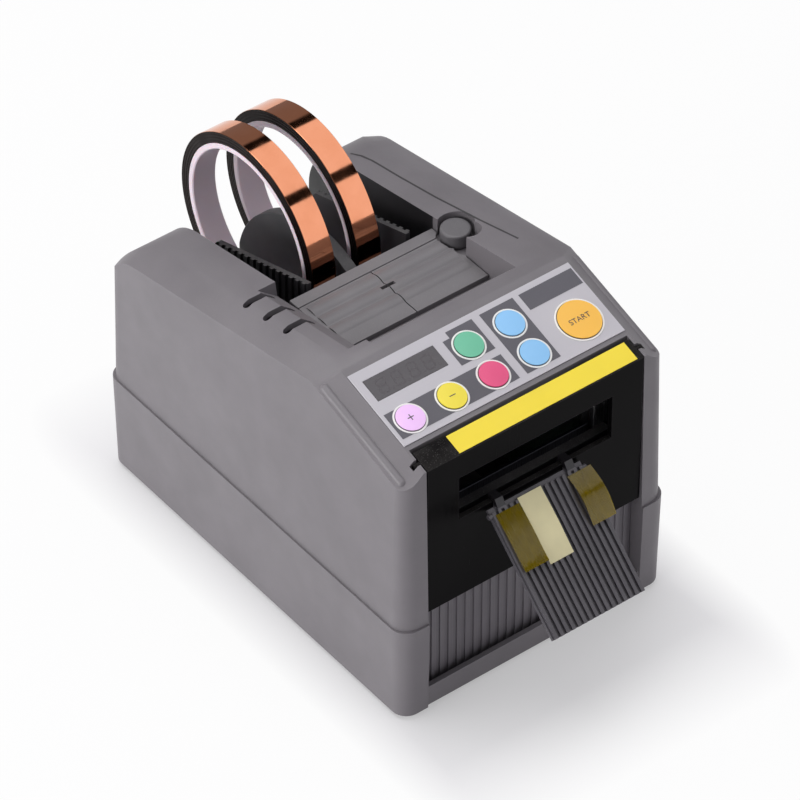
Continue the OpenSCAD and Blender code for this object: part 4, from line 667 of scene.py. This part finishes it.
strip_film = moulded_plastic("yellow strip film", paint(250, 224, 44), roughness=0.38, mottle=0.03,
                             grain=4200.0, depth=0.1, wear_and_highlight=0.0, dust=0.03)
dress(build_smoked_acrylic(), "front_cover")
dress(strip_film, "flange_strip")
soften("front_cover", width=0.0006, segments=3)


# Chute
# A ribbed slide of dark smoked plastic, hooked over the lower edge of the cover's window.

hook_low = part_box("tape_pieces")[1].z


def chute_hooks(tree):
    """A mask of the chute's hooks, above its ribs, which are black."""
    return calc(tree, "GREATER_THAN", split(tree, own_place(tree))["Z"], hook_low)


chute_plastic = moulded_plastic("chute plastic", paint(78, 75, 80), roughness=0.3, mottle=0.12, wear_and_highlight=0.5,
                                dust=0.1, black_and_shade=chute_hooks)
dress(chute_plastic, "chute")
soften("chute", width=0.0002)


# Cut tape on the chute
# Three lengths of film tape with an adhesive back: two of clear amber film and a creased cream one.
# They lie curled on the chute's ribs where the cutter drops them.

tape_w, film_t, film_lift = 0.012, 0.0002, 0.0001


def film_strip(name, left, line, material):
    """A length of tape along a side view line of (length, height) points."""
    corners, faces = [], []
    for i, (y, z) in enumerate(line):
        ahead = line[min(i + 1, len(line) - 1)]
        behind = line[max(i - 1, 0)]
        way = Vector((0, ahead[0] - behind[0], ahead[1] - behind[1])).normalized()
        out = Vector((1, 0, 0)).cross(way) * film_t
        for x in (left, left + tape_w):
            corners.append(Vector((x, y, z)))
            corners.append(Vector((x, y, z)) + out)
    for i in range(len(line) - 1):
        a, b = 4 * i, 4 * i + 4
        faces += [[a, a + 2, b + 2, b], [a + 1, b + 1, b + 3, a + 3],
                  [a, b, b + 1, a + 1], [a + 2, a + 3, b + 3, b + 2]]
    end = 4 * (len(line) - 1)
    faces += [[0, 1, 3, 2], [end, end + 2, end + 3, end + 1]]
    return new_piece(name, corners, faces, material)


def build_amber_film():
    material, tree, shader = new_finish(
        "amber film", {"Transmission Weight": 0.7, "IOR": 1.4, "Specular IOR Level": 0.2})
    creases = noise(tree, own_place(tree), scale=260.0, detail=4.0)
    tree.links.new(mixed(tree, creases, paint(186, 164, 14), paint(140, 118, 4)), shader.inputs["Base Color"])
    tree.links.new(remap(tree, creases, (0.3, 0.7), (0.08, 0.25)), shader.inputs["Roughness"])
    relief(tree, shader, creases, depth=0.35, distance=0.0004)
    return material


amber_film = build_amber_film()
cream_film = moulded_plastic("cream film", paint(226, 217, 172), roughness=0.4, mottle=0.14, depth=0.1,
                             wear_and_highlight=0.0, dust=0.0)
tape_low, tape_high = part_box("tape_pieces")
chute_slope = math.atan2(tape_high.z - tape_low.z, tape_high.y - tape_low.y)
down = Vector((0, -math.cos(chute_slope), -math.sin(chute_slope)))
lift = Vector((0, -math.sin(chute_slope), math.cos(chute_slope)))


def chute_line(start, length, rise):
    """A tape's line down the chute: where it starts, its length, and its height above the ribs."""
    points = 22
    top = Vector((0, tape_high.y, tape_high.z))
    line = []
    for i in range(points):
        share = i / (points - 1)
        spot = top + down * (start + length * share) + lift * (rise(share) + film_lift)
        line.append((spot.y, spot.z))
    return line


def curl(bow, tip, sharpness):
    """The height of a film that bows in the middle and turns up at its lower end."""
    return lambda share: bow * math.sin(math.pi * share) + tip * share ** sharpness


def flat_bow(bow):
    """The height of a film that lies flat at both ends."""
    return lambda share: bow * math.sin(math.pi * share) ** 2


cream_inset, right_reach = 0.0123, 0.0018
left_line = chute_line(start=0.002, length=0.026, rise=curl(bow=0.0009, tip=0.0012, sharpness=6))
cream_line = chute_line(start=0.0, length=0.0300, rise=flat_bow(bow=0.0005))
right_line = chute_line(start=0.0020, length=0.0225, rise=curl(bow=0.0030, tip=0.0010, sharpness=4))
left_film = film_strip("left_amber_tape", tape_low.x, left_line, amber_film)
cream_strip = film_strip("cream_tape", tape_low.x + cream_inset, cream_line, cream_film)
right_film = film_strip("right_amber_tape", tape_high.x - tape_w + right_reach, right_line, amber_film)
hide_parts("tape_pieces")
for strip in (left_film, cream_strip, right_film):
    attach(strip, "front_cover")


# Roll cradle, support rollers and divider
# A black nylon cradle drops into the bay; two steel rollers in its side plates carry the rolls.
# The divider between the rolls is a dark moulded plate.

cradle_nylon = moulded_plastic("cradle nylon", paint(40, 39, 42), roughness=0.45, mottle=0.1, wear_and_highlight=0.35,
                               dust=0.2)
divider_plastic = moulded_plastic("divider plastic", paint(58, 57, 60), roughness=0.5, mottle=0.1, wear_and_highlight=0.2,
                                  dust=0.15)
dress(cradle_nylon, "roll_cradle")
dress(drawn_steel, "front_support_roller", "rear_support_roller")
dress(divider_plastic, "roll_divider")
soften("roll_cradle", width=0.0003)
soften("roll_divider", width=0.0012, segments=4)


# Tape rolls
# Two rolls of copper-brown polyimide film wound on white moulded cores, each standing on the support rollers.
# The wound edges show the layers as fine lines.

def two_way_length(tree, first, second):
    """The length of an offset from its two parts."""
    return calc(tree, "SQRT", calc(tree, "ADD", product(tree, first, first), product(tree, second, second)))


def build_layers():
    """Lines round a roll's axis, as wound layers show on its sides."""
    group, given, result = new_group("wound layers", {"Centre Y": 0.0, "Centre Z": 0.0, "Scale": 6000.0},
                                     {"Lines": "NodeSocketFloat"})
    spot = split(group, own_place(group))
    y = calc(group, "SUBTRACT", spot["Y"], given["Centre Y"])
    z = calc(group, "SUBTRACT", spot["Z"], given["Centre Z"])
    radius = two_way_length(group, y, z)
    sockets = {"W": product(group, radius, given["Scale"]), "Scale": 1.0, "Detail": 2.0}
    lines = add_node(group, "ShaderNodeTexNoise", sockets, noise_dimensions="1D").outputs["Fac"]
    group.links.new(lines, result["Lines"])
    return group


wound_layers = build_layers()
roll_low, roll_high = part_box("left_tape_winding")
roll_middle = (roll_low + roll_high) / 2
roll_centre = {"Centre Y": roll_middle.y, "Centre Z": roll_middle.z}
roll_r = (roll_high.y - roll_low.y) / 2
core_low, core_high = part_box("left_tape_core")
core_bore_r = min((v.co.yz - roll_middle.yz).length for v in nodes["left_tape_core"].data.vertices)
core_share, core_gap = 0.8, 0.0001
core_r = core_bore_r + core_share * ((core_high.y - core_low.y) / 2 - core_bore_r)


def build_copper_film():
    ripple_share = 0.3
    material, tree, shader = new_finish("copper film", {"Metallic": 1.0})
    lines = effect(tree, wound_layers, {**roll_centre, "Scale": 5200.0})["Lines"]
    sideways = calc(tree, "ABSOLUTE", split(tree, facing(tree))["X"])
    side = remap(tree, sideways, (0.4, 0.8), (0.0, 1.0))
    ripples = noise(tree, own_place(tree), scale=120.0, detail=3.0)
    face = mixed(tree, ripples, paint(228, 156, 120), paint(216, 140, 102))
    edge = mixed(tree, lines, paint(12, 8, 8), paint(34, 22, 20))
    rough = calc(tree, "ADD", remap(tree, side, (0.0, 1.0), (0.07, 0.5)),
                 remap(tree, ripples, (0.3, 0.7), (-0.03, 0.05)))
    height = calc(tree, "ADD", product(tree, lines, side), product(tree, ripples, ripple_share))
    tree.links.new(mixed(tree, side, face, edge), shader.inputs["Base Color"])
    tree.links.new(rough, shader.inputs["Roughness"])
    relief(tree, shader, height, depth=0.3, distance=0.0002)
    return material


def build_core_plastic():
    line_share = 0.12
    material, tree, shader = new_finish(
        "core plastic", {"Subsurface Weight": 0.15, "Subsurface Scale": 0.002})
    skin = effect(tree, moulded_texture,
                  {"Colour": paint(224, 208, 217), "Mottle": 0.03, "Roughness": 0.4, "Grain Scale": 1800.0})
    lines = effect(tree, wound_layers, {**roll_centre, "Scale": 2200.0})["Lines"]
    surface = mixed(tree, product(tree, lines, line_share), skin["Colour"], paint(186, 166, 180))
    tree.links.new(surface, shader.inputs["Base Color"])
    tree.links.new(skin["Roughness"], shader.inputs["Roughness"])
    relief(tree, shader, skin["Height"], depth=0.15, distance=0.00005)
    return material


def winding_profile(width):
    """The wound film in section: a rounded face and slightly uneven side edges."""
    layers, slip, corner, right_sway, left_sway = 14, 0.00007, 0.00012, 2.4, 1.7
    steps = [core_r + (roll_r - core_r) * k / layers for k in range(layers + 1)]
    right = [(r, width / 2 - slip * (1 + math.sin(right_sway * k))) for k, r in enumerate(steps)]
    left = [(r, -width / 2 + slip * (1 + math.sin(left_sway * k + 1))) for k, r in enumerate(steps)]
    face = [(roll_r, width / 2 - corner - 2 * slip), (roll_r, -width / 2 + corner + 2 * slip)]
    right[-1] = (roll_r - corner, right[-1][1])
    left[-1] = (roll_r - corner, left[-1][1])
    return right + face + left[::-1]


def core_profile(width):
    """The core in section: a plain tube with rounded rims."""
    rim = 0.0004
    half = width / 2
    return [(core_bore_r + rim, half), (core_r - core_gap, half), (core_r - core_gap, -half),
            (core_bore_r + rim, -half), (core_bore_r, -half + rim), (core_bore_r, half - rim)]


copper_film = build_copper_film()
core_plastic = build_core_plastic()
roll_steps, layer_crease = 160, 20
along_x = Matrix.Rotation(math.pi / 2, 4, "Y")
for side in ("left", "right"):
    low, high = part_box(side + "_tape_winding")
    place = Matrix.Translation((low + high) / 2) @ along_x
    width = high.x - low.x
    winding = turned(side + "_winding", winding_profile(width), place, copper_film, steps=roll_steps,
                     ring=True, crease=layer_crease)
    core = turned(side + "_core", core_profile(width), place, core_plastic, steps=roll_steps, ring=True)
    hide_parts(side + "_tape_winding")
    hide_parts(side + "_tape_core")
    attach(winding, side + "_roll")
    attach(core, side + "_roll")


# Housing groove
# A narrow groove moulded along the top of the right housing, in the same grey.
# It parts the flat top from the rounded shoulder, and the shade in it is painted as a thin dark strip along
# it.

groove_shade = moulded_plastic("groove shade", paint(58, 56, 58), roughness=0.6, wear_and_highlight=0.0, dust=0.0)
groove_w, groove_h = 0.0009, 0.00005
groove_course = [(0.0441, 0.0945, 0.12677), (0.0460, 0.0895, 0.12790), (0.0469, 0.0833, 0.12893),
                 (0.0470, 0.0643, 0.13245), (0.0476, 0.0410, 0.13677), (0.0494, 0.0135, 0.14186),
                 (0.0515, -0.0090, 0.14603)]
groove_corners = [Vector((x + across, y, z + rise)) for x, y, z in groove_course
                  for across in (-groove_w / 2, groove_w / 2) for rise in (-groove_h, groove_h)]
groove_end = len(groove_corners) - 4
groove_faces = [[0, 2, 3, 1], [groove_end, groove_end + 1, groove_end + 3, groove_end + 2]]
for start in range(0, groove_end, 4):
    for a, b in ((0, 1), (1, 3), (3, 2), (2, 0)):
        groove_faces.append([start + a, start + b, start + 4 + b, start + 4 + a])
# A painted shade strip: a thin dark piece lying along the crease where only its shadow is.
groove_shade_strip = new_piece("right_groove_shade", groove_corners, groove_faces, groove_shade)
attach(groove_shade_strip, "case")


# Guide plates, rear strip and guide knob
# Grey ABS plates with low rounded ribs that lie in the pocket over the tape's path.
# The knob at their right sets them.

guide_plastic = moulded_plastic("guide plastic", paint(112, 109, 112), roughness=0.44, wear_and_highlight=0.4, dust=0.08)
knob_plastic = moulded_plastic("knob plastic", paint(98, 96, 99), roughness=0.42, wear_and_highlight=0.3, dust=0.08)
dress(guide_plastic, "left_guide_plate", "right_guide_plate", "rear_guide_strip")
dress(knob_plastic, "guide_knob")
soften("left_guide_plate", "right_guide_plate", "rear_guide_strip", width=0.0004)
soften("guide_knob", width=0.0010, segments=4)


# Table, light and camera
# A white table top, a large soft light at the left and another overhead, and two bright panels in the sky.
# The camera looks down on the machine from its left front.

case_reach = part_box("lower_case")[1]


def build_table():
    side_weight, fade_len, near_white, far_white = 2.2, 0.05, 0.36, 0.93
    material, tree, shader = new_finish("white table", {"Roughness": 0.55, "Specular IOR Level": 0.2})
    place = own_place(tree)
    clouds = noise(tree, place, scale=6.0, detail=3.0)
    top = mixed(tree, clouds, paint(226, 224, 228), paint(230, 229, 231))
    tree.links.new(top, shader.inputs["Base Color"])
    spot = split(tree, place)
    beside = calc(tree, "MAXIMUM", calc(tree, "SUBTRACT", calc(tree, "ABSOLUTE", spot["X"]), case_reach.x))
    ahead = calc(tree, "MAXIMUM", calc(tree, "SUBTRACT", calc(tree, "ABSOLUTE", spot["Y"]), case_reach.y))
    away = two_way_length(tree, product(tree, beside, side_weight), ahead)
    # Painted light: the table glows whiter for the camera with distance from the machine, so its shadow is
    # painted fading out near the base, tighter at the sides.
    white = remap(tree, away, (0.0, fade_len), (near_white, far_white))
    rays = add_node(tree, "ShaderNodeLightPath", {}).outputs
    seen = calc(tree, "MAXIMUM", rays["Is Camera Ray"], rays["Is Glossy Ray"])
    seen = calc(tree, "MAXIMUM", seen, rays["Is Transmission Ray"])
    glow = add_node(tree, "ShaderNodeEmission", {"Color": (1.0, 1.0, 1.0, 1.0), "Strength": 1.0})
    both = add_node(tree, "ShaderNodeMixShader",
                    {0: product(tree, seen, white), 1: shader.outputs[0], 2: glow.outputs[0]})
    tree.links.new(both.outputs[0], tree.nodes["Material Output"].inputs["Surface"])
    return material


table_half = 30.0
table = new_piece("table", [(-table_half, -table_half, 0), (table_half, -table_half, 0),
                            (table_half, table_half, 0), (-table_half, table_half, 0)],
                  [[0, 1, 2, 3]], build_table(), smooth=False)


def softbox(name, spot, width, height, power):
    """A soft rectangular light that looks at the middle of the machine."""
    light = bpy.data.lights.new(name, "AREA")
    light.shape = "RECTANGLE"
    light.size = width
    light.size_y = height
    light.energy = power
    lamp = bpy.data.objects.new(name, light)
    middle = Vector((0.0, 0.01, 0.08))
    way = middle - Vector(spot)
    lamp.matrix_world = Matrix.Translation(spot) @ way.to_track_quat("-Z", "Y").to_matrix().to_4x4()
    lamp.visible_camera = False
    bpy.context.scene.collection.objects.link(lamp)


softbox("left softbox", (-1.5, 0.25, 0.42), width=1.4, height=0.7, power=18.0)
softbox("top softbox", (-0.15, 0.5, 1.7), width=1.3, height=1.3, power=17.0)


def band(tree, value, low, high, blur):
    """One between low and high, zero outside, with blurred ends."""
    return product(tree, remap(tree, value, (low - blur, low + blur), (0.0, 1.0)),
                   remap(tree, value, (high - blur, high + blur), (1.0, 0.0)))


sky_strength, sky_tint = 0.25, (0.97, 0.96, 1.0, 1.0)
wall_dark, panel_bright, panel_blur = 0.01, 1.25, 0.015
sky = bpy.data.worlds.new("plain sky")
sky.use_nodes = True
sky_tree = sky.node_tree
sky_way = split(sky_tree, add_node(sky_tree, "ShaderNodeTexCoord", {}).outputs["Generated"])
front_rise = calc(sky_tree, "ARCTAN2", sky_way["Z"], product(sky_tree, sky_way["Y"], -1.0))
dark_wall = product(sky_tree, band(sky_tree, sky_way["X"], low=0.22, high=0.7, blur=0.05),
                    band(sky_tree, front_rise, low=-0.25, high=2.42, blur=0.03))
panels = calc(sky_tree, "ADD", band(sky_tree, front_rise, low=1.10, high=2.22, blur=panel_blur),
              band(sky_tree, front_rise, low=-0.19, high=0.89, blur=panel_blur))
wall_light = remap(sky_tree, panels, (0.0, 1.0), (wall_dark, panel_bright))
sky_light = add_node(sky_tree, "ShaderNodeMix", {0: dark_wall, 2: sky_strength, 3: wall_light}).outputs[0]
backdrop = sky_tree.nodes["Background"].inputs
backdrop["Color"].default_value = sky_tint
sky_tree.links.new(sky_light, backdrop["Strength"])
bpy.context.scene.world = sky

camera_turn = math.radians(37.858)
camera_tilt = math.radians(42.316)
camera_distance = 2.49969
camera_aim = Vector((0.0, 0.0118951, 0.072))
aim_right, aim_up = -0.0049814, 0.0013543
sensor_w, focal_len, view_depth = 36.0, 270.0, 60.0
view_right = Vector((math.cos(camera_turn), -math.sin(camera_turn), 0.0))
view_ahead = Vector((math.sin(camera_turn) * math.cos(camera_tilt),
                     math.cos(camera_turn) * math.cos(camera_tilt), -math.sin(camera_tilt)))
view_up = view_right.cross(view_ahead)
lens = bpy.data.cameras.new("camera")
lens.sensor_width = sensor_w
lens.lens = focal_len
lens.clip_end = view_depth
camera = bpy.data.objects.new("camera", lens)
eye = camera_aim - aim_right * view_right - aim_up * view_up - camera_distance * view_ahead
camera_frame = Matrix((view_right, view_up, -view_ahead)).transposed().to_4x4()
camera.matrix_world = Matrix.Translation(eye) @ camera_frame
bpy.context.scene.collection.objects.link(camera)
bpy.context.scene.camera = camera
bpy.context.scene.view_settings.view_transform = "Standard"
